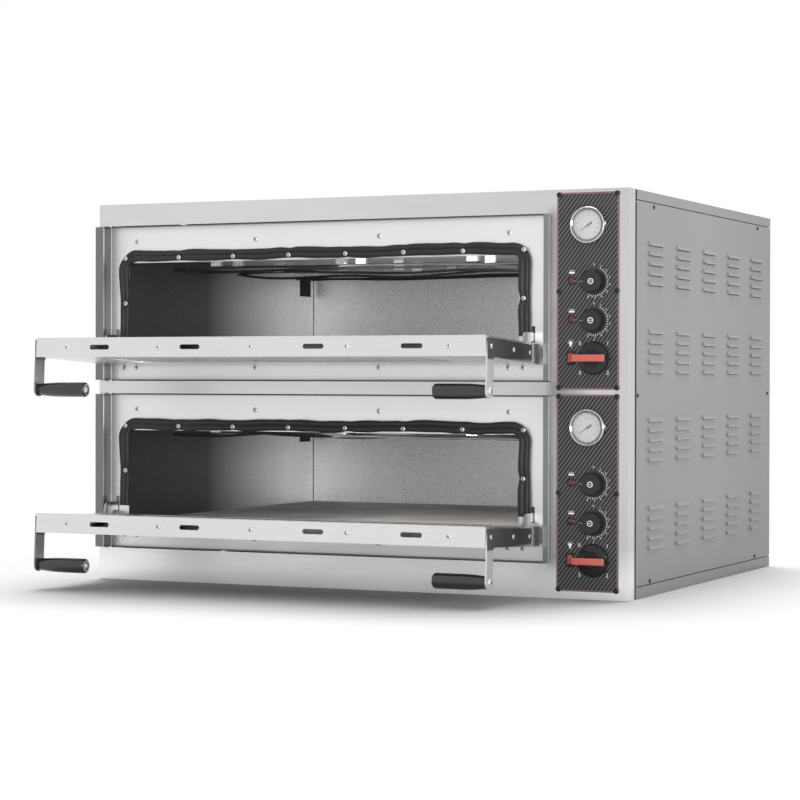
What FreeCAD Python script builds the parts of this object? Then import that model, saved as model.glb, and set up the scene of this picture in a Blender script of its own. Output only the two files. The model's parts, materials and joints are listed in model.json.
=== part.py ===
"""Double-deck electric pizza oven, built as an assembly of separate pieces.

Every driving dimension is a cell of the sheet "dims", in millimetres or degrees.
Lengths in the functions below are measured from the oven's front left bottom
corner: x to the right, y into the oven, z up. The model's own origin is the
centre of the base's rest face, so the helpers shift each piece by half the
body's width and depth. The lower deck is modelled first, and the upper deck is
the same set of pieces one deck pitch higher.
"""

import FreeCAD, Part
import math
import os
import Sketcher
from FreeCAD import Placement, Rotation, Vector

os.makedirs("parts", exist_ok=True)
doc = FreeCAD.newDocument("pizza_oven")
sheet = doc.addObject("Spreadsheet::Sheet", "dims")

DIMENSIONS = {
    # body
    "body_width": 1122, "body_depth": 916, "body_height": 750,
    "skin": 1.2, "front_return": 36, "panel_start": 45,
    "cover_flange": 18.6, "base_flange": 21, "seam": 1.5,
    # decks and door bays
    "deck_pitch": 334, "bay_bottom": 63.5, "bay_height": 309,
    "bay_left": 18.3, "bay_right": 962.5, "flange_end": 973,
    "flange_reach": 15, "recess": 15,
    "opening_left": 60, "opening_right": 903, "opening_bottom": 104.5, "opening_top": 299,
    # chamber
    "chamber_floor": 85, "chamber_ceiling": 314, "chamber_depth": 812,
    "stone_thickness": 15, "stone_top": 119.5, "stone_gap": 3,
    "lamp_start": 758, "lamp_length": 56, "lamp_low": 257, "lamp_high": 297,
    "wool": 30, "divider_x": 976,
    # gasket
    "gasket_left": 53, "gasket_right": 916.5, "gasket_top": 312, "gasket_foot": 148,
    "gasket_width": 21, "gasket_depth": 12.6, "gasket_corner": 24,
    # door
    "door_left": 20.5, "door_right": 955.5, "door_thickness": 37,
    "door_rear": 12.6, "door_reach": 243.4, "door_tilt": 3, "door_travel": 87,
    "pivot_y": -18.05, "pivot_z": 114.2, "bracket_thickness": 3,
    "slot_length": 42, "slot_width": 9,
    "window_margin_side": 130, "window_near": 70, "window_far": 205, "pane": 4,
    # hinges
    "arm_left": 34, "arm_right": 931, "arm_thickness": 4, "pin_radius": 4,
    "pin_clearance": 0.05,
    # handles
    "grip_radius": 14, "grip_root_radius": 11, "grip_length": 104,
    "arm_drop": 79.4, "arm_from_pivot": 226, "arm_width": 30,
    # controls
    "plate_centre_x": 1044, "plate_centre_z": 194.5, "plate_pitch": 369,
    "plate_width": 120, "plate_height": 360, "plate_thickness": 1.6,
    "gauge_radius": 33.5, "gauge_bezel": 11, "knob_radius": 20, "knob_depth": 21,
    "shaft_radius": 3, "knob_travel": 215, "dial_radius": 29.5,
    "handle_length": 62, "handle_width": 12.5, "handle_reach": 34,
    # louvres in the side panels
    "louvre_length": 81, "louvre_rise": 4.5, "louvre_height": 10, "louvre_columns": 5,
    "louvre_column_pitch": 164.6, "louvre_rows": 5, "louvre_row_pitch": 18.4,
    "louvre_groups": 4, "louvre_group_pitch": 163.7, "louvre_low": 85.9,
    # small parts
    "head_radius": 4, "head_height": 2.2, "rod_radius": 4,
}


def as_size(item):
    """The item as a Size, whether it is one already or a plain number."""
    if isinstance(item, Size):
        return item
    return Size(float(item), repr(float(item)))


class Size:
    """A number together with the sheet formula that it comes from."""

    def __init__(self, value, formula):
        self.value = value
        self.formula = formula

    def join(self, symbol, value, other):
        return Size(value, f"({self.formula} {symbol} {other.formula})")

    def __add__(self, other):
        other = as_size(other)
        return self.join("+", self.value + other.value, other)

    def __sub__(self, other):
        other = as_size(other)
        return self.join("-", self.value - other.value, other)

    def __mul__(self, other):
        other = as_size(other)
        return self.join("*", self.value * other.value, other)

    def __truediv__(self, other):
        other = as_size(other)
        return self.join("/", self.value / other.value, other)

    def __radd__(self, other):
        return as_size(other) + self

    def __rsub__(self, other):
        return as_size(other) - self

    def __rmul__(self, other):
        return as_size(other) * self

    def __neg__(self):
        return Size(-self.value, f"(-1 * {self.formula})")


class Dims:
    """Each driving dimension as an attribute, bound to its cell."""


for row, (alias, number) in enumerate(DIMENSIONS.items(), start=1):
    sheet.set(f"A{row}", alias)
    sheet.set(f"B{row}", str(number))
    sheet.setAlias(f"B{row}", alias)
    setattr(Dims, alias, Size(float(number), f"dims.{alias}"))
doc.recompute()

D = Dims
LEFT = -D.body_width / 2
FRONT = -D.body_depth / 2
ALONG_X = Rotation(Vector(0, 1, 0), 90)
ALONG_Y = Rotation(Vector(1, 0, 0), -90)
ALONG_Z = Rotation()
DECKS = {"lower": 0 * D.deck_pitch, "upper": 1 * D.deck_pitch}
nodes = []


# ---------------------------------------------------------------- helpers

def bind(obj, **sizes):
    """Set properties of an object from sizes, as expressions."""
    for name, item in sizes.items():
        obj.setExpression(name, as_size(item).formula)


def move(obj, x=0, y=0, z=0):
    """Place an object at a point of the model's own frame."""
    for axis, item in zip("xyz", (x, y, z)):
        obj.setExpression(f"Placement.Base.{axis}", as_size(item).formula)
    return obj


def block(x, y, z):
    """A box from three (low, high) pairs in the model's own frame."""
    obj = doc.addObject("Part::Box", "block")
    bind(obj, Length=as_size(x[1]) - x[0], Width=as_size(y[1]) - y[0], Height=as_size(z[1]) - z[0])
    return move(obj, x[0], y[0], z[0])


def box(x, y, z):
    """A box from three (low, high) pairs measured from the front left bottom corner."""
    return block([LEFT + x[0], LEFT + x[1]], [FRONT + y[0], FRONT + y[1]], z)


def rod(radius, length, base, along):
    """A cylinder in the model's own frame, from its base point along an axis."""
    obj = doc.addObject("Part::Cylinder", "rod")
    bind(obj, Radius=radius, Height=length)
    obj.Placement = Placement(Vector(), along)
    return move(obj, *base)


def post(radius, length, base, along=ALONG_Y):
    """A cylinder whose base point is measured from the front left bottom corner."""
    return rod(radius, length, (LEFT + base[0], FRONT + base[1], base[2]), along)


def group(items):
    """Several solids as one compound."""
    obj = doc.addObject("Part::Compound", "group")
    obj.Links = items
    return obj


def fuse(items):
    obj = doc.addObject("Part::MultiFuse", "fuse")
    obj.Shapes = items
    obj.Refine = True
    return obj


def cut(base, tools):
    obj = doc.addObject("Part::Cut", "cut")
    obj.Base = base
    obj.Tool = group(tools) if len(tools) > 1 else tools[0]
    return obj


def node(obj, name):
    """Name a finished piece; the name is its file's name too."""
    obj.Label = name
    nodes.append(obj)
    return obj


def on_door(obj, lift):
    """Place a piece that is built about its door's pivot, tilted to the open rest position."""
    obj.Placement = Placement(Vector(), Rotation(Vector(1, 0, 0), -DIMENSIONS["door_tilt"]))
    return move(obj, 0, FRONT + D.pivot_y, D.pivot_z + lift)


def new_sketch(body, role):
    """A sketch on one of the body's own origin planes."""
    sketch = body.newObject("Sketcher::SketchObject", "sketch")
    plane = next(item for item in body.Origin.OriginFeatures if item.Role == role)
    sketch.AttachmentSupport = [(plane, "")]
    sketch.MapMode = "FlatFace"
    return sketch


def hold(sketch, geometry, point, across, up):
    """Fix a sketch point at sizes measured from the sketch's origin."""
    for kind, axis, item in (("DistanceX", -2, as_size(across)), ("DistanceY", -1, as_size(up))):
        if abs(item.value) < 1e-9:
            sketch.addConstraint(Sketcher.Constraint("PointOnObject", geometry, point, axis))
            continue
        ends = (-1, 1, geometry, point) if item.value > 0 else (geometry, point, -1, 1)
        number = sketch.addConstraint(Sketcher.Constraint(kind, *ends, abs(item.value)))
        formula = item.formula if item.value > 0 else (-item).formula
        sketch.setExpression(f"Constraints[{number}]", formula)


def add_polygon(sketch, points):
    """A closed outline through points given as (across, up) sizes."""
    first = sketch.GeometryCount
    count = len(points)
    values = [Vector(as_size(a).value, as_size(b).value, 0) for a, b in points]
    for i in range(count):
        sketch.addGeometry(Part.LineSegment(values[i], values[(i + 1) % count]), False)
    for i in range(count):
        following = first + (i + 1) % count
        sketch.addConstraint(Sketcher.Constraint("Coincident", first + i, 2, following, 1))
    for i, (across, up) in enumerate(points):
        hold(sketch, first + i, 1, across, up)


def add_circle(sketch, centre, radius):
    """A circle with its centre and radius bound."""
    radius = as_size(radius)
    middle = Vector(as_size(centre[0]).value, as_size(centre[1]).value, 0)
    number = sketch.addGeometry(Part.Circle(middle, Vector(0, 0, 1), radius.value), False)
    hold(sketch, number, 3, *centre)
    limit = sketch.addConstraint(Sketcher.Constraint("Radius", number, radius.value))
    sketch.setExpression(f"Constraints[{limit}]", radius.formula)


def add_feature(body, kind, sketch, length, midplane=False, reverse=False):
    """A Pad or Pocket of the sketch."""
    feature = body.newObject(f"PartDesign::{kind}", kind.lower())
    feature.Profile = sketch
    bind(feature, Length=length)
    feature.Midplane = midplane
    feature.Reversed = reverse
    return feature


def plate(role, outline, thickness, holes=(), midplane=False):
    """A body padded from an outline, with round holes given as (centre, radius)."""
    body = doc.addObject("PartDesign::Body", "body")
    sketch = new_sketch(body, role)
    add_polygon(sketch, outline)
    for centre, radius in holes:
        add_circle(sketch, centre, radius)
    add_feature(body, "Pad", sketch, thickness, midplane)
    return body


def turned(role, outline):
    """A body turned about its sketch's horizontal axis."""
    body = doc.addObject("PartDesign::Body", "body")
    sketch = new_sketch(body, role)
    add_polygon(sketch, outline)
    turn = body.newObject("PartDesign::Revolution", "revolution")
    turn.Profile = sketch
    turn.ReferenceAxis = (sketch, ["H_Axis"])
    turn.Angle = 360
    return body


def round_corners(body, corners):
    """Round a plate's corners, given as (across, up, radius) in its sketch, for a plate in the YZ plane."""
    for across, up, radius in corners:
        doc.recompute()
        base = body.Tip
        names = []
        for number, edge in enumerate(base.Shape.Edges, start=1):
            low, high = edge.BoundBox.YMin, edge.BoundBox.YMax
            near = abs(low - as_size(across).value) + abs(high - as_size(across).value) < 0.01
            level = abs(edge.BoundBox.ZMin - as_size(up).value) + abs(edge.BoundBox.ZMax - as_size(up).value)
            if near and level < 0.01:
                names.append(f"Edge{number}")
        fillet = body.newObject("PartDesign::Fillet", "fillet")
        fillet.Base = (base, names)
        bind(fillet, Radius=radius)
        body.Tip = fillet
    return body


def screw(x, y, z):
    """A pan-head screw that faces the front: its head stands on a sheet at y, its shank goes in."""
    head = post(D.head_radius, D.head_height, (x, y - D.head_height, z))
    return fuse([head, post(D.head_radius / 2, 8, (x, y, z))])


# ---------------------------------------------------------------- casing

def make_front_panel():
    """Folded stainless front with both door bays and the control openings cut out."""
    width, height, skin = D.body_width, D.body_height, D.skin
    outer = box((0, width), (0, D.front_return), (0, height))
    inner = box((skin, width - skin), (skin, D.front_return + 1), (skin, height - skin))
    tools = [inner]
    for lift in DECKS.values():
        low = D.bay_bottom + lift
        tools.append(box((D.bay_left - 6, D.bay_right + 6), (-1, skin + 1), (low, low + D.bay_height)))
    for lift in PLATES.values():
        tools += [post(radius, skin + 2, (x, -1, z)) for x, z, radius in control_holes(lift)]
        tools.append(box(*rocker_hole(lift, -1, skin + 1)))
    node(cut(outer, tools), "front_panel")


def make_base_tray():
    """Folded tray under the oven; its underside is the rest face."""
    width, depth, skin = D.body_width, D.body_depth, D.skin
    outer = box((0, width), (D.panel_start, depth), (0, D.base_flange))
    inner = box((skin, width - skin), (D.panel_start - 1, depth - skin), (skin, D.base_flange + 1))
    node(cut(outer, [inner]), "base_tray")


def make_top_cover():
    """Folded lid, flanged down at both sides and the rear."""
    width, depth, skin, top = D.body_width, D.body_depth, D.skin, D.body_height
    low = top - D.cover_flange
    outer = box((0, width), (D.front_return, depth), (low, top))
    inner = box((skin, width - skin), (D.front_return - 1, depth - skin), (low - 1, top - skin))
    notches = [box((-1, skin + 1), (D.front_return - 1, D.panel_start), (low - 1, top - skin)),
               box((width - skin - 1, width + 1), (D.front_return - 1, D.panel_start), (low - 1, top - skin))]
    node(cut(cut(outer, [inner]), notches), "top_cover")


def make_side_panel(name, turn, x):
    """Painted side panel with four groups of pressed louvres that open downwards."""
    body = doc.addObject("PartDesign::Body", name)
    half = (D.body_depth - D.panel_start) / 2
    low, high = D.base_flange + D.seam, D.body_height - D.cover_flange - D.seam
    sketch = new_sketch(body, "YZ_Plane")
    add_polygon(sketch, [(-half, low), (half, low), (half, high), (-half, high)])
    add_feature(body, "Pad", sketch, D.skin)
    first = -(D.louvre_column_pitch * (D.louvre_columns - 1) + D.louvre_length) / 2
    middle = first + D.louvre_length / 2
    skin, rise, tall, bottom = D.skin, D.louvre_rise, D.louvre_height, D.louvre_low
    hood = new_sketch(body, "XZ_Plane")
    add_polygon(hood, [(skin, bottom), (skin + rise, bottom), (skin + rise, bottom + 1.5),
                       (skin, bottom + tall)])
    hood.setExpression("AttachmentOffset.Base.z", (-middle).formula)
    pad = add_feature(body, "Pad", hood, D.louvre_length, midplane=True)
    slot = new_sketch(body, "XZ_Plane")
    add_polygon(slot, [(-1, bottom - 0.5), (skin + rise - 1.2, bottom - 0.5), (skin + rise - 1.2, bottom + 1.2),
                       (skin, bottom + tall - 2.2), (-1, bottom + tall - 2.2)])
    slot.setExpression("AttachmentOffset.Base.z", (-middle).formula)
    pocket = add_feature(body, "Pocket", slot, D.louvre_length - 2.4, midplane=True)
    repeat = body.newObject("PartDesign::MultiTransform", "louvres")
    repeat.Originals = [pad, pocket]
    steps = []
    for role, number, pitch in (("Z_Axis", D.louvre_rows, D.louvre_row_pitch),
                                ("Z_Axis", D.louvre_groups, D.louvre_group_pitch),
                                ("Y_Axis", D.louvre_columns, D.louvre_column_pitch)):
        step = doc.addObject("PartDesign::LinearPattern", "step")
        axis = next(item for item in body.Origin.OriginFeatures if item.Role == role)
        step.Direction = (axis, [""])
        bind(step, Length=pitch * (number - 1), Occurrences=number)
        steps.append(step)
    repeat.Transformations = steps
    body.Tip = repeat
    body.Placement = Placement(Vector(), Rotation(Vector(0, 0, 1), turn))
    move(body, LEFT + x, FRONT + D.panel_start + half, 0)
    node(body, name)


def make_rear_panel():
    """Rear panel with two rows of vent slots and the hole for the supply gland."""
    skin = D.skin
    low, high = D.base_flange + D.seam, D.body_height - D.cover_flange - D.seam
    panel = box((skin + 0.5, D.body_width - skin - 0.5), (D.body_depth - skin, D.body_depth), (low, high))
    tools = [post(GLAND_RADIUS, skin + 2, (GLAND_X, D.body_depth - skin - 1, GLAND_Z))]
    for lift in DECKS.values():
        for column in range(8):
            for row in range(3):
                x = 160 + 100 * column
                z = lift + 175 + 20 * row
                tools.append(box((x, x + 60), (D.body_depth - skin - 1, D.body_depth + 1), (z, z + 6)))
    node(cut(panel, tools), "rear_panel")


def make_chassis():
    """Four corner posts, two cross rails under each chamber and the posts' top ties."""
    skin, post_side = 2, 24
    pieces = []
    for x in (6, D.body_width - 6 - post_side):
        for y in (D.front_return + 12, D.body_depth - 10 - post_side):
            outer = box((x, x + post_side), (y, y + post_side), (D.skin, D.body_height - 20))
            right = x == 6
            inner_x = (x + skin, x + post_side + 1) if right else (x - 1, x + post_side - skin)
            inner = box(inner_x, (y + skin, y + post_side + 1), (D.skin - 1, D.body_height - 19))
            pieces.append(cut(outer, [inner]))
    for lift in DECKS.values():
        for y in (220, 640):
            top = D.chamber_floor + lift - D.skin - 0.5
            pieces.append(box((32, D.divider_x - 1), (y, y + 30), (top - 4, top)))
    node(group(pieces), "chassis_frame")


def make_divider():
    """Sheet wall between the baking chambers and the control compartment."""
    wall = box((D.divider_x, D.divider_x + D.skin), (D.panel_start + 30, D.body_depth - 40), (30, 725))
    node(wall, "divider_panel")


# ---------------------------------------------------------------- decks

def make_door_frame(deck, lift):
    """Folded frame of one bay: recessed face with the chamber opening and two side flanges."""
    skin, low, high = D.skin, D.bay_bottom + lift + D.seam, D.bay_bottom + D.bay_height + lift - D.seam
    back = D.recess + skin
    left, right = D.bay_left, D.bay_right
    proud = -D.flange_reach
    pieces = [
        box((left - skin, right + skin), (D.recess, back), (low, high)),
        box((left, right), (-0.2, back), (low, low + skin)),
        box((left, right), (-0.2, back), (high - skin, high)),
        box((left - skin, left), (proud, back), (low, high)),
        box((right, right + skin), (proud, back), (low, high)),
        box((0, left), (proud, proud + skin), (low, high)),
        box((right, D.flange_end), (proud, proud + skin), (low, high)),
        box((0, skin), (proud, -0.05), (low, high)),
        box((D.flange_end - skin, D.flange_end), (proud, -0.05), (low, high)),
    ]
    tools = [box((D.opening_left, D.opening_right), (D.recess - 1, back + 1),
                 (D.opening_bottom + lift, D.opening_top + lift))]
    for x in (D.arm_left, D.arm_right):
        tools.append(box((x - 3.6, x + 3.6), (D.recess - 1, back + 1),
                         (D.pivot_z + 22 + lift, D.pivot_z + 52 + lift)))
    for x, z in frame_screw_places(lift):
        tools.append(post(D.head_radius / 2 + 0.1, skin + 2, (x, D.recess - 1, z)))
    node(cut(fuse(pieces), tools), f"door_frame_{deck}")


def make_chamber(deck, lift):
    """Aluminised steel liner of one chamber: two sides, rear, ceiling and floor pan."""
    skin = D.skin
    left, right = D.opening_left, D.opening_right
    front, rear = D.recess + skin + 0.3, D.recess + D.chamber_depth
    low, high = D.chamber_floor + lift, D.chamber_ceiling + lift
    window = box((left - skin - 1, left + 1), (D.lamp_start, D.lamp_start + D.lamp_length),
                 (D.lamp_low + lift, D.lamp_high + lift))
    pieces = [
        cut(box((left - skin, left), (front, rear), (low, high)), [window]),
        box((right, right + skin), (front, rear), (low, high)),
        box((left - skin, right + skin), (rear, rear + skin), (low, high)),
        box((left - skin, right + skin), (front, rear + skin), (high, high + skin)),
        box((left - skin, right + skin), (front, rear + skin), (low - skin, low)),
    ]
    node(group(pieces), f"chamber_{deck}")


def make_stones(deck, lift):
    """Two refractory slabs side by side, standing on low bearers over the floor elements."""
    top = D.stone_top + lift
    middle = (D.opening_left + D.opening_right) / 2
    y = (D.recess + 5, D.recess + D.chamber_depth - 4)
    slabs = []
    for x in ((D.opening_left + 2, middle - D.stone_gap / 2), (middle + D.stone_gap / 2, D.opening_right - 2)):
        slabs.append(box(x, y, (top - D.stone_thickness, top)))
        for near in (40, 280, 560, 790):
            slabs.append(box((x[0] + 20, x[1] - 20), (near, near + 12),
                             (D.chamber_floor + lift + 0.2, top - D.stone_thickness)))
    node(group(slabs), f"baking_stones_{deck}")


def hairpin(x, y, z, radius, width):
    """A U-shaped heating rod lying flat: its bend at the left end, both tails at the right."""
    left, right = x
    near = Vector(right, y - width / 2, z)
    far = Vector(right, y + width / 2, z)
    near_bend = Vector(left, y - width / 2, z)
    far_bend = Vector(left, y + width / 2, z)
    turn = Vector(left - width / 2, y, z)
    path = Part.Wire([Part.LineSegment(near, near_bend).toShape(), Part.Arc(near_bend, turn, far_bend).toShape(),
                      Part.LineSegment(far_bend, far).toShape()])
    circle = Part.Wire([Part.Circle(near, Vector(1, 0, 0), radius).toShape()])
    return path.makePipeShell([circle], True, False)


def make_elements(kind, height):
    """Sheathed heating rods of both decks: three hairpins each under the ceiling or the stones."""
    solids = []
    left = LEFT.value + D.opening_left.value
    right = LEFT.value + D.opening_right.value
    for lift in DECKS.values():
        for y in ELEMENT_ROWS:
            span = (left + 80, right - 1)
            solids.append(hairpin(span, FRONT.value + y, height.value + lift.value, D.rod_radius.value, 90))
    obj = doc.addObject("Part::Feature", kind)
    obj.Shape = Part.makeCompound(solids)
    node(obj, kind)


def make_element_clips():
    """Sheet hangers that hold the upper rods under each ceiling."""
    clips = []
    rod_top = CEILING_ROD_Z + D.rod_radius + 0.1
    for lift in DECKS.values():
        for y in ELEMENT_ROWS:
            for x in (200, 480, 760):
                for offset in (-45, 45):
                    clips.append(box((x, x + 22), (y + offset - 6, y + offset + 6),
                                     (rod_top + lift, D.chamber_ceiling + lift - 0.1)))
    node(group(clips), "element_clips")


def make_lamps():
    """Chamber lamps: a glass window in each left wall and the lamp housing behind it."""
    solids = []
    for lift in DECKS.values():
        y = (D.lamp_start + 0.5, D.lamp_start + D.lamp_length - 0.5)
        z = (D.lamp_low + lift + 0.5, D.lamp_high + lift - 0.5)
        solids.append(box((D.opening_left - 6, D.opening_left - 2), y, z))
        solids.append(box((D.opening_left - 34, D.opening_left - 6.5), y, z))
    node(group(solids), "chamber_lamps")


def make_probes():
    """Capillary probes through each right wall: two over the top rods, one under the stones."""
    solids = []
    for lift in DECKS.values():
        for y, height in ((420, 98), (420, 303), (540, 303)):
            solids.append(post(2.5, 60, (D.opening_right - 62, y, height + lift), ALONG_X))
    node(group(solids), "temperature_probes")


def make_insulation():
    """Mineral wool slabs over, under, beside and behind each chamber."""
    skin, wool = D.skin, D.wool
    solids = []
    for lift in DECKS.values():
        left, right = D.opening_left - skin, D.opening_right + skin
        front, rear = D.recess + 10, D.recess + D.chamber_depth + skin
        low, high = D.chamber_floor + lift - skin, D.chamber_ceiling + lift + skin
        solids += [
            box((left, right), (front, rear), (high + 0.5, high + wool)),
            box((left, right), (250.5, 639.5), (low - wool, low - 0.5)),
            box((left, right), (rear + 0.5, rear + wool), (low, high)),
            box((right + 0.5, right + wool), (60, rear), (low, high)),
            box((left - 24, left - 0.5), (80, D.lamp_start - 20), (low, high)),
        ]
    node(group(solids), "insulation")


def arc_corner(centre, radius, start, sweep):
    """A quarter arc in the XZ plane, as an edge."""
    points = []
    for step in (0, 0.5, 1):
        angle = math.radians(start + sweep * step)
        points.append(Vector(centre.x + radius * math.cos(angle), 0, centre.z + radius * math.sin(angle)))
    return Part.Arc(*points).toShape()


def make_gasket(deck, lift):
    """Heat-proof seal round the top and both sides of an opening, with rounded outer edges."""
    half = D.gasket_width.value / 2
    left = LEFT.value + D.gasket_left.value
    right = LEFT.value + D.gasket_right.value
    top = D.gasket_top.value + lift.value
    foot = D.gasket_foot.value + lift.value
    corner = D.gasket_corner.value
    outer, inner = corner + half, corner - half
    left_centre = Vector(left + corner, 0, top - corner)
    right_centre = Vector(right - corner, 0, top - corner)
    sides = [
        Part.LineSegment(Vector(left - half, 0, foot), Vector(left - half, 0, top - corner)).toShape(),
        arc_corner(left_centre, outer, 180, -90),
        Part.LineSegment(Vector(left + corner, 0, top + half), Vector(right - corner, 0, top + half)).toShape(),
        arc_corner(right_centre, outer, 90, -90),
        Part.LineSegment(Vector(right + half, 0, top - corner), Vector(right + half, 0, foot)).toShape(),
        Part.LineSegment(Vector(right + half, 0, foot), Vector(right - half, 0, foot)).toShape(),
        Part.LineSegment(Vector(right - half, 0, foot), Vector(right - half, 0, top - corner)).toShape(),
        arc_corner(right_centre, inner, 0, 90),
        Part.LineSegment(Vector(right - corner, 0, top - half), Vector(left + corner, 0, top - half)).toShape(),
        arc_corner(left_centre, inner, 90, 90),
        Part.LineSegment(Vector(left + half, 0, top - corner), Vector(left + half, 0, foot)).toShape(),
        Part.LineSegment(Vector(left + half, 0, foot), Vector(left - half, 0, foot)).toShape(),
    ]
    face = Part.Face(Part.Wire(sides))
    depth = D.gasket_depth.value
    band = face.extrude(Vector(0, -depth, 0))
    rounded = [edge for edge in band.Edges if edge.BoundBox.YMin < -depth + 0.01 and edge.BoundBox.YLength < 0.01]
    rounded = [edge for edge in rounded if edge.BoundBox.ZMax > foot + 1]
    band = band.makeFillet(5, rounded)
    holes = []
    for x, z in gasket_screw_places(lift):
        holes.append(Part.makeCylinder(4.3, depth + 2, Vector(LEFT.value + x, 1, z), Vector(0, -1, 0)))
    obj = doc.addObject("Part::Feature", f"gasket_{deck}")
    obj.Shape = band.cut(holes)
    obj.Placement = Placement(Vector(0, FRONT.value + D.recess.value - 0.2, 0), Rotation())
    node(obj, f"gasket_{deck}")


def gasket_screw_places(lift):
    """Screw centres along a gasket: eight over the top and one down each side."""
    left, right = D.gasket_left.value + 4.5, D.gasket_right.value - 1
    top = D.gasket_top.value - 4 + lift.value
    places = [(left + (right - left) * step / 7, top) for step in range(8)]
    return places + [(left, top - 90), (right, top - 90)]


def frame_screw_places(lift):
    """Screw centres of a door frame: four over its gasket and six along its foot."""
    above = [(x, 341 + lift) for x in (79, 346.7, 614.4, 882)]
    return above + [(x, 89.5 + lift) for x in (50.4, 78.4, 346.7, 614.4, 881, 910.6)]


def make_front_screws():
    """Screws of both gaskets and both door frames."""
    solids = []
    for lift in DECKS.values():
        for x, z in gasket_screw_places(lift):
            solids.append(post(3.6, D.recess - 3.4, (x, 3.2, z)))
        for x, z in frame_screw_places(lift):
            solids.append(screw(x, D.recess, z))
    node(group(solids), "front_screws")


# ---------------------------------------------------------------- hinges and doors

def make_hinge_arms():
    """Fixed hinge arms: each reaches out of the frame's slot, down into the door, to its pin."""
    solids = []
    outline = [(-9, -9), (9, -9), (9, 24), (62, 24), (62, 40.8), (-16, 40.8), (-16, 10), (-9, 4)]
    corners = [(-9, -9, 8.5), (9, -9, 8.5), (9, 24, 6), (-16, 40.8, 11)]
    for lift in DECKS.values():
        for x, side in ((D.arm_left, -1), (D.arm_right, 1)):
            arm = plate("YZ_Plane", outline, D.arm_thickness, [((0, 0), D.pin_radius)], midplane=True)
            round_corners(arm, corners)
            move(arm, LEFT + x, FRONT + D.pivot_y, D.pivot_z + lift)
            solids.append(arm)
            pin = rod(D.pin_radius, 24.2, (LEFT + x - 8.2, FRONT + D.pivot_y, D.pivot_z + lift), ALONG_X)
            solids.append(pin)
            foot_x = (x + 2.1, x + 20) if side > 0 else (x - 20, x - 2.1)
            z = D.pivot_z + lift
            solids.append(box(foot_x, (D.recess + D.skin + 0.2, D.recess + D.skin + 12), (z + 26, z + 39)))
    node(group(solids), "hinge_arms")


def make_door_shell(deck, lift):
    """Outer skin of a door: folded tray with lip, vent slots and notches for the hinge arms."""
    skin = D.skin
    half = D.door_thickness / 2
    left = LEFT + D.door_left + D.bracket_thickness
    right = LEFT + D.door_right - D.bracket_thickness
    lip, rear = -D.door_reach, 1 * D.door_rear
    outer = block((left, right), (lip, rear), (-half, half - skin))
    inner = block((left + skin, right - skin), (lip + skin, rear - skin), (skin - half, half + 1))
    tools = [inner, block(*window_span(left, right, -half - 1, skin - half + 1))]
    for x in SLOT_PLACES:
        middle = LEFT + x
        reach = (D.slot_length - D.slot_width) / 2
        tools.append(block((middle - reach, middle + reach), (lip - 1, lip + skin + 1),
                           (-D.slot_width / 2, D.slot_width / 2)))
        for end in (middle - reach, middle + reach):
            tools.append(rod(D.slot_width / 2, skin + 2, (end, lip - 1, 0), ALONG_Y))
    for x in LIP_SCREWS:
        tools.append(rod(2.2, skin + 2, (LEFT + x, lip - 1, 0), ALONG_Y))
    for x in (D.arm_left, D.arm_right):
        tools.append(block((LEFT + x - 4, LEFT + x + 4), (rear - skin - 1, rear + 1), (-13, half + 1)))
    node(on_door(cut(outer, tools), lift), f"door_shell_{deck}")


def window_span(left, right, low, high):
    """The door window's opening, as three (low, high) pairs about the pivot."""
    margin = D.window_margin_side
    return (left + margin, right - margin), (-D.window_far, -D.window_near), (low, high)


def make_door_liner(deck, lift):
    """Inner skin of a door, with the window opening and slots for the hinge arms."""
    skin = D.skin
    half = D.door_thickness / 2
    left = LEFT + D.door_left + D.bracket_thickness
    right = LEFT + D.door_right - D.bracket_thickness
    panel = block((left, right), (-D.door_reach, D.door_rear), (half - skin, half))
    tools = [block(*window_span(left, right, half - skin - 1, half + 1))]
    for x in (D.arm_left, D.arm_right):
        tools.append(block((LEFT + x - 4, LEFT + x + 4), (-58, D.door_rear + 1), (half - skin - 1, half + 1)))
    node(on_door(cut(panel, tools), lift), f"door_liner_{deck}")


def make_door_glazing(deck, lift):
    """Inner and outer pane of a door's window, held between its two skins."""
    half = D.door_thickness / 2
    skin, overlap = D.skin, 12
    left = LEFT + D.door_left + D.bracket_thickness + D.window_margin_side - overlap
    right = LEFT + D.door_right - D.bracket_thickness - D.window_margin_side + overlap
    y = (-D.window_far - overlap, -D.window_near + overlap)
    panes = [block((left, right), y, (skin - half + 0.1, skin - half + D.pane)),
             block((left, right), y, (half - skin - D.pane, half - skin - 0.1))]
    node(on_door(group(panes), lift), f"door_glazing_{deck}")


def make_handle_brackets(deck, lift):
    """L-shaped steel side plates: along the door's side and down to carry a grip."""
    reach, drop = D.arm_from_pivot, D.arm_drop
    tip = -D.door_reach
    inner, foot = tip + D.arm_width, -(drop + 13)
    outline = [(-34, 15), (-34, -18), (inner, -18), (inner, foot), (tip, foot), (tip, 15)]
    corners = [(inner, -18, 8), (inner, foot, 13), (tip, foot, 13), (tip, 15, 3)]
    holes = [((-reach, -drop), 3.2)]
    solids = []
    for x in (D.door_left, D.door_right - D.bracket_thickness):
        body = round_corners(plate("YZ_Plane", outline, D.bracket_thickness, holes), corners)
        move(body, LEFT + x, 0, 0)
        solids.append(body)
    node(on_door(group(solids), lift), f"handle_brackets_{deck}")


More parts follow.
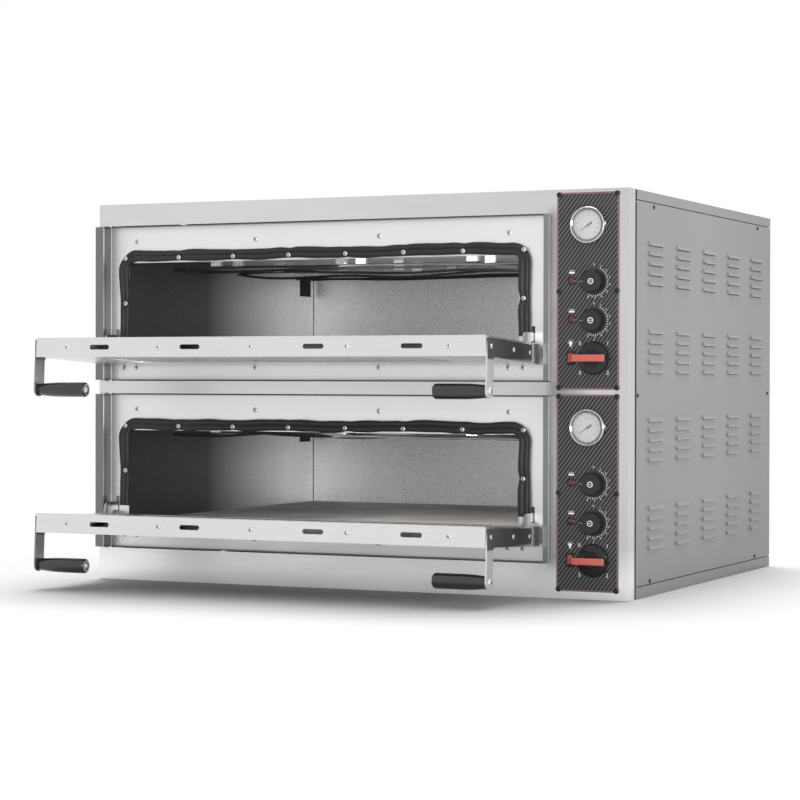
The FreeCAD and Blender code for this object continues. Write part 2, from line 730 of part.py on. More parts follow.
def make_grips(deck, lift):
    """Two tapered moulded grips that point towards each other under the open door."""
    length = D.grip_length
    outline = [(0.3, 4.2), (0.3, D.grip_root_radius), (length * 0.35, D.grip_radius),
               (length - 3, D.grip_radius), (length, D.grip_radius - 3), (length, 4.2)]
    solids = []
    for x, turn in ((D.door_left + D.bracket_thickness, 0), (D.door_right - D.bracket_thickness, 180)):
        body = turned("XZ_Plane", outline)
        body.Placement = Placement(Vector(), Rotation(Vector(0, 0, 1), turn))
        move(body, LEFT + x, -D.arm_from_pivot, -D.arm_drop)
        solids.append(body)
    node(on_door(group(solids), lift), f"handle_grips_{deck}")


def make_door_fasteners(deck, lift):
    """Lip screws, side screws and the long grip bolts of a door."""
    solids = []
    lip = -D.door_reach
    for x in LIP_SCREWS:
        head = rod(D.head_radius, D.head_height, (LEFT + x, lip - D.head_height, 0), ALONG_Y)
        solids.append(fuse([head, rod(2, 6, (LEFT + x, lip - 1, 0), ALONG_Y)]))
    for x, way in ((D.door_left, -1), (D.door_right, 1)):
        start = LEFT + x - (D.head_height if way < 0 else 0)
        for y in (-226, -122, -44):
            solids.append(rod(D.head_radius, D.head_height, (start, y, 0), ALONG_X))
        bolt_start = LEFT + x - (3 if way < 0 else D.grip_length + 2)
        head_start = LEFT + x - (3 if way < 0 else 0)
        y, z = -D.arm_from_pivot, -D.arm_drop
        shank = rod(3, D.grip_length + 5, (bolt_start, y, z), ALONG_X)
        solids.append(fuse([shank, rod(6, 3, (head_start, y, z), ALONG_X)]))
    node(on_door(group(solids), lift), f"door_fasteners_{deck}")


def make_hinge_brackets(deck, lift):
    """Steel brackets inside a door: two bored ears each, turning on the fixed pins."""
    solids = []
    bore = D.pin_radius + D.pin_clearance
    half = D.door_thickness / 2
    floor = D.skin - half + 0.1
    for x in (D.arm_left, D.arm_right):
        outline = [(9, floor), (9, 9), (-9, 9), (-9, 0), (-54, floor + 4), (-54, floor)]
        corners = [(9, 9, 7), (-9, 9, 7)]
        ears = []
        for offset in (-7.5, 5):
            ear = round_corners(plate("YZ_Plane", outline, 2.5, [((0, 0), bore)]), corners)
            ears.append(move(ear, LEFT + x + offset, 0, 0))
        foot = block((LEFT + x - 7.5, LEFT + x + 7.5), (-54, -44), (floor, floor + 2))
        solids.append(fuse([*ears, foot]))
    node(on_door(group(solids), lift), f"hinge_brackets_{deck}")


def make_hinge_springs():
    """Counterbalance springs on the ends of the hinge pins: close turns joined by a straight leg."""
    solids = []
    coil_radius, wire_radius, pitch, turns = 6.2, 0.8, 2, 3
    for lift in DECKS.values():
        for x in (D.arm_left, D.arm_right):
            start = LEFT + x + 9
            y, z = FRONT + D.pivot_y, D.pivot_z + lift
            coils = [rod(wire_radius, pitch * (turns - 1), (start, y, z + coil_radius), ALONG_X)]
            for turn in range(turns):
                coil = doc.addObject("Part::Torus", "coil")
                bind(coil, Radius1=coil_radius, Radius2=wire_radius)
                coil.Placement = Placement(Vector(), ALONG_X)
                coils.append(move(coil, start + turn * pitch, y, z))
            solids.append(fuse(coils))
    node(group(solids), "hinge_springs")


# ---------------------------------------------------------------- controls

def control_holes(lift):
    """Round holes behind a control plate as (x, z, radius): gauge, shafts, lamps and switch."""
    x, z = D.plate_centre_x, D.plate_centre_z + lift
    holes = [(x + 2, z + GAUGE_Z, D.gauge_radius - 3)]
    for height in KNOB_Z:
        holes.append((x + 12, z + height, 5))
        holes.append((x - 31, z + height + 2, 5.3))
    holes.append((x + 12, z + SWITCH_Z, 6))
    return holes


def rocker_hole(lift, near, far):
    """The light switch's square hole, as three (low, high) pairs."""
    x, z = D.plate_centre_x - ROCKER_X, D.plate_centre_z + SWITCH_Z + lift
    return (x - 6.5, x + 6.5), (near, far), (z - 11, z + 11)


def make_control_plates():
    """Dark printed control plates, one for each deck."""
    plates = []
    half_width, half_height = D.plate_width / 2, D.plate_height / 2
    for lift in PLATES.values():
        x, z = D.plate_centre_x, D.plate_centre_z + lift
        panel = box((x - half_width, x + half_width), (-D.plate_thickness, -0.05), (z - half_height, z + half_height))
        tools = [post(radius, 4, (hole_x, -3, hole_z)) for hole_x, hole_z, radius in control_holes(lift)]
        plates.append(cut(panel, [*tools, box(*rocker_hole(lift, -3, 1))]))
    node(group(plates), "control_plates")


def make_plate_screws():
    """Six black screws round each control plate."""
    solids = []
    for lift in PLATES.values():
        for across in (-56, 56):
            for up in (-176.5, 0, 176.5):
                x = D.plate_centre_x + across
                z = D.plate_centre_z + lift + up
                solids.append(post(3.6, 2, (x, -D.plate_thickness - 2.05, z)))
    node(group(solids), "control_plate_screws")


def make_gauges():
    """Dial thermometers: chrome case with bezel, dial, glass and a needle of its own for each."""
    radius, bezel = D.gauge_radius, D.gauge_bezel
    back = 28
    case_profile = [(-bezel, radius - 5.5), (-bezel, radius - 1.5), (1.5 - bezel, radius), (-2, radius),
                    (-2, radius - 3.5), (back, radius - 3.5), (back, 3), (back - 2, 3), (back - 2, radius - 5.5)]
    cases, dials, glasses = [], [], []
    for deck, lift in PLATES.items():
        x, z = D.plate_centre_x + 2, D.plate_centre_z + GAUGE_Z + lift
        place = (LEFT + x, FRONT, z)
        case = turned("YZ_Plane", case_profile)
        cases.append(move(case, *place))
        dials.append(post(radius - 5.7, 1, (x, -3.5, z)))
        glasses.append(post(radius - 5.7, 1.2, (x, 0.4 - bezel, z)))
        blade = plate("XZ_Plane", [(-1, -9), (1, -9), (0.9, 0), (0.35, 21), (-0.35, 21), (-0.9, 0)], 0.6)
        hub = rod(2.4, 3, (0, -1.8, 0), ALONG_Y)
        needle = fuse([blade, hub])
        needle.Placement = Placement(Vector(), Rotation(Vector(0, 1, 0), NEEDLE_REST))
        move(needle, LEFT + x, FRONT - 5.6, z)
        node(needle, f"gauge_needle_{deck}")
    node(group(cases), "gauge_cases")
    node(group(dials), "gauge_dials")
    node(group(glasses), "gauge_glasses")


def make_knobs():
    """Thermostat knobs with their spindles, the thermostats behind them and the pilot lamps."""
    radius, depth = D.knob_radius, D.knob_depth
    profile = [(-3, 3.1), (-3, radius), (-6, radius), (-8, radius - 2.5), (-depth + 1.5, radius - 4.5),
               (-depth, radius - 6), (-depth, 0), (-8, 0), (-8, 3.1)]
    names = ("bottom", "top")
    thermostats, lamps = [], []
    for deck, lift in PLATES.items():
        for name, height in zip(names, sorted(KNOB_Z)):
            x, z = D.plate_centre_x + 12, D.plate_centre_z + height + lift
            cap = move(turned("YZ_Plane", profile), LEFT + x, FRONT, z)
            spindle = post(D.shaft_radius, 25, (x, -7.9, z))
            node(group([cap, spindle]), f"knob_{deck}_{name}")
            thermostats.append(box((x - 17, x + 17), (17.3, 52), (z - 22, z + 22)))
            lamp_x, lamp_z = x - 43, z + 2
            lamps.append(fuse([post(5, 26, (lamp_x, -D.plate_thickness - 1, lamp_z)),
                               post(5.8, 1.6, (lamp_x, -D.plate_thickness - 1.65, lamp_z))]))
    node(group(thermostats), "thermostats")
    node(group(lamps), "pilot_lamps")


def make_switches():
    """Rotary main switches and rocker light switches."""
    bodies = []
    for deck, lift in PLATES.items():
        x, z = D.plate_centre_x + 12, D.plate_centre_z + SWITCH_Z + lift
        disc = post(D.dial_radius, 3, (x, -D.plate_thickness - 3.05, z))
        bodies.append(cut(disc, [post(5, 6, (x, -6, z))]))
        bodies.append(box((x - 22, x + 22), (20, 66), (z - 22, z + 22)))
        rocker_x = D.plate_centre_x - ROCKER_X
        frame = box((rocker_x - 8, rocker_x + 8), (-D.plate_thickness - 1.55, -D.plate_thickness - 0.05),
                    (z - 13, z + 13))
        housing = box((rocker_x - 6.2, rocker_x + 6.2), (-D.plate_thickness - 1.5, 22), (z - 10.7, z + 10.7))
        well = box((rocker_x - 5, rocker_x + 5), (-D.plate_thickness - 3, 16), (z - 9.5, z + 9.5))
        bodies.append(cut(fuse([frame, housing]), [well]))
        grip_side = D.handle_width / 2
        grip = block((-D.handle_length / 2, D.handle_length / 2), (-D.handle_reach, -6.4), (-grip_side, grip_side))
        collar = rod(16, 6, (0, -11, 0), ALONG_Y)
        spindle = rod(4, 26, (0, -8, 0), ALONG_Y)
        handle = fuse([grip, collar, spindle])
        node(move(handle, LEFT + x, FRONT, z), f"main_switch_handle_{deck}")
        outline = [(-5.5, -8.6), (-4.2, 0), (-5.5, 8.6), (3, 8.2), (6, 1.5), (6, -1.5), (3, -8.2)]
        rocker = plate("YZ_Plane", outline, 9.4, midplane=True)
        rocker.Placement = Placement(Vector(), Rotation(Vector(1, 0, 0), ROCKER_REST))
        node(move(rocker, LEFT + rocker_x, FRONT, z), f"light_rocker_{deck}")
    node(group(bodies), "switch_bodies")


def make_case_screws():
    """Black screws of the side panels and bright ones of the rear panel."""
    solids = []
    places = ((139, 723), (818, 723), (50.5, 373), (895, 373), (121, 28), (803, 28))
    for y, z in places:
        solids.append(post(D.head_radius, D.head_height, (-D.head_height, y, z), ALONG_X))
        solids.append(post(D.head_radius, D.head_height, (1 * D.body_width, y, z), ALONG_X))
    for x in (20, 561, 1102):
        for z in (34, 375, 718):
            solids.append(post(D.head_radius, D.head_height, (x, 1 * D.body_depth, z), ALONG_Y))
    node(group(solids), "case_screws")


def make_supply():
    """Cable gland in the rear panel and the terminal block inside it."""
    y = D.body_depth - D.skin
    outside = post(15, 9, (GLAND_X, D.body_depth + 0.05, GLAND_Z), ALONG_Y)
    dome = post(11, 12, (GLAND_X, D.body_depth + 9, GLAND_Z), ALONG_Y)
    thread = post(GLAND_RADIUS - 0.3, D.skin + 4, (GLAND_X, y - 3, GLAND_Z), ALONG_Y)
    nut = post(15, 6, (GLAND_X, y - 6.05, GLAND_Z), ALONG_Y)
    bore = post(6, 40, (GLAND_X, y - 10, GLAND_Z), ALONG_Y)
    node(cut(fuse([outside, dome, thread, nut]), [bore]), "cable_gland")
    block_x = 1060
    base = box((block_x - 30, block_x + 30), (820, 860), (60, 88))
    wells = []
    for step in range(5):
        wells.append(post(3.5, 12, (block_x - 24 + 12 * step, 832, 80), ALONG_Z))
    node(cut(base, wells), "terminal_block")


PLATES = {"lower": 0 * D.plate_pitch, "upper": 1 * D.plate_pitch}
GAUGE_Z = 120
KNOB_Z = (17, -54)
SWITCH_Z = -122.5
ROCKER_X = 33
ROCKER_REST = -9
NEEDLE_REST = -124
GLAND_X, GLAND_Z, GLAND_RADIUS = 1060, 130, 10
SLOT_PLACES = (164, 359, 615, 810)
LIP_SCREWS = (92, 292, 487, 682, 882)
ELEMENT_ROWS = (150, 420, 690)
CEILING_ROD_Z = D.chamber_ceiling - 24
FLOOR_ROD_Z = D.chamber_floor + 10

make_front_panel()
make_base_tray()
make_top_cover()
make_side_panel("side_panel_right", 0, D.body_width - D.skin)
make_side_panel("side_panel_left", 180, 1 * D.skin)
make_rear_panel()
make_chassis()
make_divider()
for deck_name, deck_lift in DECKS.items():
    make_door_frame(deck_name, deck_lift)
    make_chamber(deck_name, deck_lift)
    make_stones(deck_name, deck_lift)
    make_gasket(deck_name, deck_lift)
    make_door_shell(deck_name, deck_lift)
    make_door_liner(deck_name, deck_lift)
    make_door_glazing(deck_name, deck_lift)
    make_handle_brackets(deck_name, deck_lift)
    make_grips(deck_name, deck_lift)
    make_door_fasteners(deck_name, deck_lift)
    make_hinge_brackets(deck_name, deck_lift)
make_elements("top_elements", CEILING_ROD_Z)
make_elements("bottom_elements", FLOOR_ROD_Z)
make_element_clips()
make_lamps()
make_probes()
make_insulation()
make_front_screws()
make_hinge_arms()
make_hinge_springs()
make_control_plates()
make_plate_screws()
make_gauges()
make_knobs()
make_switches()
make_case_screws()
make_supply()
doc.recompute()

# ---------------------------------------------------------------- checks and export

for item in doc.Objects:
    if "Invalid" in item.State or "Error" in item.State:
        raise RuntimeError(f"{item.Label} ({item.TypeId}) failed: {item.State}")
if len(nodes) > 60:
    raise RuntimeError(f"too many pieces: {len(nodes)}")
for item in nodes:
    shape = item.Shape
    if shape.isNull() or not shape.isValid() or not shape.Solids:
        raise RuntimeError(f"{item.Label} has no valid solid")
    shape.exportStep(f"parts/{item.Label}.step")
    print(f"{item.Label}: {len(shape.Solids)} solids, {shape.Volume / 1000:.1f} cm3")
print(f"{len(nodes)} nodes")
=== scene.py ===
"""Looks of the double-deck pizza oven: materials, fine pieces, studio and camera.

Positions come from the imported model's own boxes. Lengths in the tables and
functions below are millimetres times MM, so everything built is in metres.
"""

import json
import math
import bmesh
import bpy
from mathutils import Matrix, Vector, noise


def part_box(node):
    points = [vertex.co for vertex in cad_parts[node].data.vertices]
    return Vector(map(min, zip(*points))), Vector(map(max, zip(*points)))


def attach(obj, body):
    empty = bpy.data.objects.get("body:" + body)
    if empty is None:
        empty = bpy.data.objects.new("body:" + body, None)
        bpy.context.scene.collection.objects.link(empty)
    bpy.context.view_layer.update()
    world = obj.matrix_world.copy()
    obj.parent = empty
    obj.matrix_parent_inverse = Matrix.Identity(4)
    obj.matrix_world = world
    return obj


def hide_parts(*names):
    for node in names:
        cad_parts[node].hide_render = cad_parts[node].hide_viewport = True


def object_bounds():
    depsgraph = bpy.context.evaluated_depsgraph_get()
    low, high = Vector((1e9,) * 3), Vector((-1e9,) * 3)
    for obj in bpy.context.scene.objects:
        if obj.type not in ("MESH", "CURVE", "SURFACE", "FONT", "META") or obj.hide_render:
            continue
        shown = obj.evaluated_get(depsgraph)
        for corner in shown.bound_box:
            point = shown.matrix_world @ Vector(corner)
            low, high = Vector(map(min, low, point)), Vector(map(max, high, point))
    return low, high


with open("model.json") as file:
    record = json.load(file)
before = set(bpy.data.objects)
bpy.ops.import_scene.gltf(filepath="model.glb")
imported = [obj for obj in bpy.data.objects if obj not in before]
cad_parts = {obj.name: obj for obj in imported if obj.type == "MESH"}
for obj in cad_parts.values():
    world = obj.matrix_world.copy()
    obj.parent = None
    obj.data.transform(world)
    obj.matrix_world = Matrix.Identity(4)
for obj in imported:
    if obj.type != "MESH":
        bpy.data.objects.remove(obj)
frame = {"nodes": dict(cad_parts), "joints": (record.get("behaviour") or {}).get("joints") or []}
CAD_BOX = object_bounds()
NODES = frame["nodes"]
MM = 0.001
DECKS = ("lower", "upper")
CASING = "casing"
PANEL_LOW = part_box("front_panel")[0]
FRONT = PANEL_LOW.y
SHARP = math.radians(35)


# ---------------------------------------------------------------- materials

class Surface:
    """A material under construction: its nodes, its shader and the model's own coordinates."""

    def __init__(self, name, colour, metallic=0.0, roughness=0.5):
        self.material = bpy.data.materials.new(name)
        self.material.use_nodes = True
        self.tree = self.material.node_tree
        self.shader = self.tree.nodes["Principled BSDF"]
        self.colour = colour
        self.set("Base Color", (*colour, 1))
        self.set("Metallic", metallic)
        self.set("Roughness", roughness)
        self.place = self.add("ShaderNodeTexCoord").outputs["Object"]

    def add(self, kind):
        return self.tree.nodes.new(kind)

    def set(self, name, value):
        self.shader.inputs[name].default_value = value

    def link(self, output, target):
        self.tree.links.new(output, target)
        return output

    def stretched(self, stretch):
        mapping = self.add("ShaderNodeMapping")
        mapping.inputs["Scale"].default_value = stretch
        self.link(self.place, mapping.inputs["Vector"])
        return mapping.outputs["Vector"]

    def noise(self, scale, stretch=(1, 1, 1), detail=3):
        """Fractal noise, from about 0.3 to 0.7, with that many waves to a metre."""
        node = self.add("ShaderNodeTexNoise")
        node.inputs["Scale"].default_value = scale
        node.inputs["Detail"].default_value = detail
        self.link(self.stretched(stretch), node.inputs["Vector"])
        return node.outputs["Fac"]

    def grains(self, scale):
        """A random grey for each crystal of a cell pattern."""
        cells = self.add("ShaderNodeTexVoronoi")
        cells.inputs["Scale"].default_value = scale
        self.link(self.place, cells.inputs["Vector"])
        grey = self.add("ShaderNodeSeparateColor")
        self.link(cells.outputs["Color"], grey.inputs["Color"])
        return grey.outputs["Red"]

    def spread(self, value, low, high, start=0.3, end=0.7):
        node = self.add("ShaderNodeMapRange")
        for name, number in (("From Min", start), ("From Max", end), ("To Min", low), ("To Max", high)):
            node.inputs[name].default_value = number
        self.link(value, node.inputs["Value"])
        return node.outputs["Result"]

    def combine(self, kind, first, second):
        node = self.add("ShaderNodeMath")
        node.operation = kind
        for number, item in enumerate((first, second)):
            if isinstance(item, (int, float)):
                node.inputs[number].default_value = item
            else:
                self.link(item, node.inputs[number])
        return node.outputs["Value"]

    def blend(self, factor, first, second):
        """A colour between two, each a triple or a socket."""
        node = self.add("ShaderNodeMix")
        node.data_type = "RGBA"
        self.link(factor, node.inputs["Factor"])
        for name, item in (("A", first), ("B", second)):
            socket = next(i for i in node.inputs if i.name == name and i.type == "RGBA")
            if isinstance(item, tuple):
                socket.default_value = (*item, 1)
            else:
                self.link(item, socket)
        return next(o for o in node.outputs if o.type == "RGBA")

    def vary(self, value, amount, start=0.3, end=0.7):
        """The base colour lightened and darkened by that part of itself."""
        dark = tuple(c * (1 - amount) for c in self.colour)
        light = tuple(min(1, c * (1 + amount)) for c in self.colour)
        return self.blend(self.spread(value, 0, 1, start, end), dark, light)

    def painted(self):
        """The socket that feeds the base colour so far."""
        return self.shader.inputs["Base Color"].links[0].from_socket

    def paint(self, colour):
        self.link(colour, self.shader.inputs["Base Color"])

    def rough(self, value):
        self.link(value, self.shader.inputs["Roughness"])

    def bump(self, height, strength, depth):
        node = self.add("ShaderNodeBump")
        node.inputs["Strength"].default_value = strength
        node.inputs["Distance"].default_value = depth
        self.link(height, node.inputs["Height"])
        self.link(node.outputs["Normal"], self.shader.inputs["Normal"])

    def axis(self, name):
        split = self.add("ShaderNodeSeparateXYZ")
        self.link(self.place, split.inputs["Vector"])
        return split.outputs[name]


def brushed(name, colour, brush=(3, 260, 260), low=0.29, high=0.37):
    """Satin steel: fine brush lines, faint cloudiness and a few smudges."""
    s = Surface(name, colour, metallic=1.0)
    lines = s.noise(3, brush, 4)
    cloud = s.noise(5, detail=2)
    s.paint(s.vary(s.combine("MULTIPLY", s.combine("ADD", lines, cloud), 0.5), 0.035))
    s.rough(s.combine("ADD", s.spread(lines, low, high), s.spread(cloud, -0.03, 0.04)))
    s.bump(lines, 0.03, 0.0002)
    return s


def enamel(name, colour, roughness=0.42, grain=1100, amount=0.03, strength=0.12):
    """Powder-coated sheet: orange peel and a slight change of tone."""
    s = Surface(name, colour, metallic=0.15)
    peel = s.noise(grain, detail=2)
    s.paint(s.vary(s.noise(4, detail=3), amount))
    s.rough(s.spread(peel, roughness - 0.05, roughness + 0.06))
    s.bump(peel, strength, 0.0003)
    return s


def case_paint():
    """The outer case's grey coating, with painted shade darkening it towards the bottom and the rear."""
    s = enamel("grey_paint", (0.265, 0.265, 0.27))
    # Painted shade: the coat is blended towards dark grey near the floor and towards the rear.
    low = s.spread(s.axis("Z"), 0.4, 0, 0, 420 * MM)
    rear = s.spread(s.axis("Y"), 0, 0.3, 0, FRONT + 900 * MM)
    plain = s.painted()
    s.paint(s.blend(s.combine("ADD", low, rear), plain, (0.13, 0.13, 0.132)))
    return s.material


def spangled(name, colour, low=0.34, high=0.6):
    """Aluminised or galvanised sheet: crystals that shine differently, and a fine grain."""
    s = Surface(name, colour, metallic=0.85)
    crystals = s.grains(330)
    grain = s.noise(650, detail=4)
    mixed = s.combine("ADD", s.combine("MULTIPLY", crystals, 0.45), s.combine("MULTIPLY", grain, 0.55))
    s.paint(s.vary(mixed, 0.22, 0.2, 0.8))
    s.rough(s.spread(mixed, low, high, 0.2, 0.8))
    s.bump(grain, 0.25, 0.0003)
    return s


def moulded(name, colour, roughness=0.4, grain=1600, strength=0.08, coat=0.0):
    """Moulded plastic or rubber with a very fine texture."""
    s = Surface(name, colour, roughness=roughness)
    s.set("Coat Weight", coat)
    grains = s.noise(grain, detail=2)
    s.paint(s.vary(grains, 0.12))
    s.rough(s.spread(s.noise(60, detail=3), roughness - 0.07, roughness + 0.07))
    s.set("Specular IOR Level", 0.3)
    s.bump(grains, strength, 0.0002)
    return s


def frame_steel():
    """The door frames' steel: satin on the face; the flanges in front of it get painted shade, darker to the
    left, a painted highlight along the fold and deeper painted shade on the flange's side face.
    """
    s = brushed("door_frame_steel_painted_shade", (0.77, 0.77, 0.77), low=0.36, high=0.44)
    # Painted shade: everything in front of the frame face, the folded flanges, is painted dark grey, a little
    # darker on the left.
    flange_painted_light_mask = s.spread(s.axis("Y"), 1, 0, FRONT + 14 * MM, FRONT + 14.8 * MM)
    side = s.spread(s.axis("X"), 0, 1, PANEL_LOW.x + 100 * MM, PANEL_LOW.x + 800 * MM)
    tone = s.blend(side, (0.2, 0.19, 0.19), (0.24, 0.235, 0.23))
    plain = s.painted()
    # Painted highlight: a narrow pale band on the flange's side face next to its front fold; behind it,
    # deeper painted shade on the rest of that side face.
    lip = s.spread(s.axis("Y"), 0, 1, FRONT - 14.95 * MM, FRONT - 14.85 * MM)
    inner = s.spread(s.axis("Y"), 0, 1, FRONT - 12.1 * MM, FRONT - 11.9 * MM)
    recess = s.blend(side, (0.12, 0.115, 0.115), (0.2, 0.2, 0.2))
    tone = s.blend(inner, s.blend(lip, tone, (0.6, 0.6, 0.6)), recess)
    s.paint(s.blend(flange_painted_light_mask, plain, tone))
    return s.material


def liner_steel(lamp_side):
    """The chambers' spangled sheet; the lamp-side wall gets painted shade, near black towards the door."""
    s = spangled("chamber_sheet_painted_shade", (0.86, 0.86, 0.87), 0.34, 0.56)
    s.set("Metallic", 0.6)
    # Painted shade: the lamp-side wall is blended to near black by the door, fading out towards the rear.
    wall = s.spread(s.axis("X"), 1, 0, lamp_side + 2 * MM, lamp_side + 4 * MM)
    depth = s.spread(s.axis("Y"), 1, 0, FRONT + 330 * MM, FRONT + 700 * MM)
    plain = s.painted()
    s.paint(s.blend(s.combine("MULTIPLY", wall, depth), plain, (0.068, 0.064, 0.062)))
    return s.material


def bracket_steel():
    """Handle plates: brushed steel, with painted shade making the side plates beside the door dark and the
    left-hand bracket's flanges and arms darker.
    """
    s = brushed("bracket_steel", (0.62, 0.62, 0.62), (220, 3, 220), 0.4, 0.5)
    # Painted shade: the side plates, in a band above each door's edge, are blended to near black.
    height = s.axis("Z")
    plates = 0
    for deck in DECKS:
        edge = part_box(f"door_shell_{deck}")[0].z
        above = s.spread(height, 0, 1, edge + 6 * MM, edge + 10 * MM)
        below = s.spread(height, 1, 0, edge + 60 * MM, edge + 62 * MM)
        plates = s.combine("ADD", s.combine("MULTIPLY", above, below), plates)
    behind = s.spread(s.axis("Y"), 0, 1, FRONT - 262 * MM, FRONT - 260.5 * MM)
    plain = s.painted()
    # Painted shade: the left-hand bracket is painted darker than the right-hand one.
    left = s.spread(s.axis("X"), 1, 0, -10 * MM, 10 * MM)
    arms = s.blend(left, plain, (0.27, 0.262, 0.258))
    s.paint(s.blend(s.combine("MULTIPLY", plates, behind), arms, (0.12, 0.117, 0.115)))
    return s.material


def fascia_steel():
    """The front panel: satin, with painted shade in the narrow gap beside the door frames and a little
    towards the right, and a painted lighter band along the bottom.
    """
    s = brushed("fascia_steel", (0.64, 0.64, 0.64))
    gap = s.spread(s.axis("X"), 0, 1, PANEL_LOW.x + 960 * MM, PANEL_LOW.x + 976 * MM)
    plate = s.spread(s.axis("X"), 1, 0, PANEL_LOW.x + 990 * MM, PANEL_LOW.x + 1050 * MM)
    low = s.spread(s.axis("Z"), 0, 1, 50 * MM, 75 * MM)
    high = s.spread(s.axis("Z"), 1, 0, 700 * MM, 725 * MM)
    shade = s.combine("MULTIPLY", s.combine("MULTIPLY", gap, plate), s.combine("MULTIPLY", low, high))
    # Painted shade: the panel darkens a little towards its right end.
    right_painted_shade = s.spread(s.axis("X"), 0, 0.3, PANEL_LOW.x + 500 * MM, PANEL_LOW.x + 1122 * MM)
    plain = s.painted()
    # Painted light: the bottom band is blended towards near white.
    foot = s.spread(s.axis("Z"), 1, 0, 30 * MM, 95 * MM)
    painted_light_and_shade = s.blend(foot, s.blend(right_painted_shade, plain, (0.4, 0.4, 0.4)), (0.95, 0.95, 0.95))
    s.paint(s.blend(shade, painted_light_and_shade, (0.36, 0.36, 0.36)))
    return s.material


def printed_film():
    """Control plate print: slanting light stripes on a dark ground."""
    s = Surface("printed_film", (0.02, 0.02, 0.02), roughness=0.38)
    s.set("Specular IOR Level", 0.25)
    across = s.combine("SUBTRACT", s.axis("X"), s.combine("MULTIPLY", s.axis("Z"), 0.76))
    wave = s.combine("FRACT", s.combine("DIVIDE", across, 7.8 * MM), 0)
    rise = s.spread(wave, 0, 1, 0.0, 0.12)
    fall = s.spread(wave, 1, 0, 0.3, 0.62)
    stripe = s.combine("MULTIPLY", rise, fall)
    weave = s.spread(s.noise(900, detail=2), 0.75, 1.0)
    s.paint(s.blend(s.combine("MULTIPLY", stripe, weave), (0.02, 0.019, 0.02), (0.13, 0.128, 0.128)))
    s.rough(s.spread(stripe, 0.36, 0.5, 0, 1))
    s.bump(stripe, 0.15, 0.0001)
    return s.material


def stone_slab():
    """Refractory stone: sandy grain, pores and a little scorching."""
    s = Surface("refractory", (0.60, 0.58, 0.56), roughness=0.85)
    grain = s.noise(500, detail=5)
    scorch = s.noise(7, detail=4)
    s.paint(s.blend(s.spread(scorch, 0, 0.6), s.vary(grain, 0.2), (0.24, 0.225, 0.21)))
    s.rough(s.spread(grain, 0.78, 0.95))
    s.bump(grain, 0.5, 0.0005)
    return s.material


def heated_rod():
    """Element sheath: dark oxide with warmer and bluer bands."""
    s = Surface("element_oxide", (0.05, 0.05, 0.052), metallic=0.6, roughness=0.5)
    band = s.noise(16, (1, 0.3, 1), 3)
    s.paint(s.blend(s.spread(band, 0, 1), (0.022, 0.022, 0.024), (0.06, 0.056, 0.053)))
    s.rough(s.spread(s.noise(300), 0.4, 0.62))
    s.bump(s.noise(900), 0.2, 0.0003)
    return s.material


def clear(name, colour, alpha, roughness=0.03):
    """Thin glass or a clear window: mostly see-through, with sharp highlights and faint dust."""
    s = Surface(name, colour, roughness=roughness)
    s.set("Alpha", alpha)
    s.set("IOR", 1.5)
    s.rough(s.spread(s.noise(40, detail=3), roughness, roughness + 0.05))
    return s.material


def lens(name, colour):
    """Coloured lamp lens or rocker: glossy, a little light inside."""
    s = Surface(name, colour, roughness=0.18)
    s.set("Coat Weight", 0.25)
    s.set("Subsurface Weight", 0.25)
    s.set("Subsurface Scale", 0.003)
    s.paint(s.vary(s.noise(350, detail=2), 0.2))
    return s.material


def wool():
    s = Surface("mineral_wool", (0.62, 0.53, 0.3), roughness=0.95)
    fibres = s.noise(90, (1, 9, 4), 6)
    s.paint(s.vary(fibres, 0.3))
    s.bump(fibres, 0.8, 0.002)
    return s.material


def ink(name, colour, roughness=0.55):
    """Printed ink with slightly uneven cover."""
    s = Surface(name, colour, roughness=roughness)
    s.paint(s.vary(s.noise(700, detail=2), 0.06))
    return s.material


DOOR_STEEL = brushed("door_steel", (0.70, 0.70, 0.70), low=0.22, high=0.32).material
PLATE_STEEL = bracket_steel()
DARK_STEEL = brushed("hinge_steel", (0.40, 0.40, 0.40), (200, 200, 8), 0.25, 0.42).material
SCREW_STEEL = brushed("screw_steel", (0.72, 0.72, 0.72), (90, 90, 90), 0.36, 0.5).material
FRAME_STEEL = frame_steel()
GREY_PAINT = case_paint()
REAR_PAINT = enamel("rear_paint", (0.27, 0.27, 0.275)).material
GALVANISED = spangled("galvanised_sheet", (0.62, 0.62, 0.63)).material
CLIP_STEEL = spangled("clip_sheet", (0.74, 0.74, 0.74), 0.3, 0.5).material
LINER = liner_steel(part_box("chamber_lower")[0].x)
FILM = printed_film()
STONE = stone_slab()
ROD = heated_rod()
RUBBER = moulded("seal_rubber", (0.022, 0.021, 0.021), 0.42, 900, 0.25).material
BLACK_SCREW = moulded("black_screw", (0.01, 0.01, 0.01), 0.3, 1200, 0.1, 0.2).material
BLACK = moulded("black_plastic", (0.012, 0.012, 0.013), 0.4).material
GLOSS_BLACK = moulded("gloss_black", (0.009, 0.009, 0.01), 0.22, 2000, 0.03, 0.2).material
KNOB_FACE = moulded("knob_face", (0.022, 0.022, 0.023), 0.5, 1500, 0.15).material
GRIP = moulded("grip_plastic", (0.009, 0.009, 0.01), 0.2, 1500, 0.03, 0.9).material
RED = moulded("handle_red", (0.54, 0.12, 0.095), 0.35, 1300, 0.05, 0.3).material
ROCKER_RED = lens("rocker_red", (0.33, 0.05, 0.04))
LAMP_RED = lens("lamp_red", (0.085, 0.012, 0.012))
CHROME = brushed("gauge_chrome", (0.66, 0.66, 0.66), (60, 60, 60), 0.05, 0.11).material
PAINTED_REFLECTION_METAL = brushed("bezel_cone_painted_reflection", (0.18, 0.18, 0.18), (60, 60, 60), 0.1, 0.2).material
DIAL = enamel("dial_face", (0.52, 0.52, 0.51), 0.5, 1500, 0.02, 0.04).material
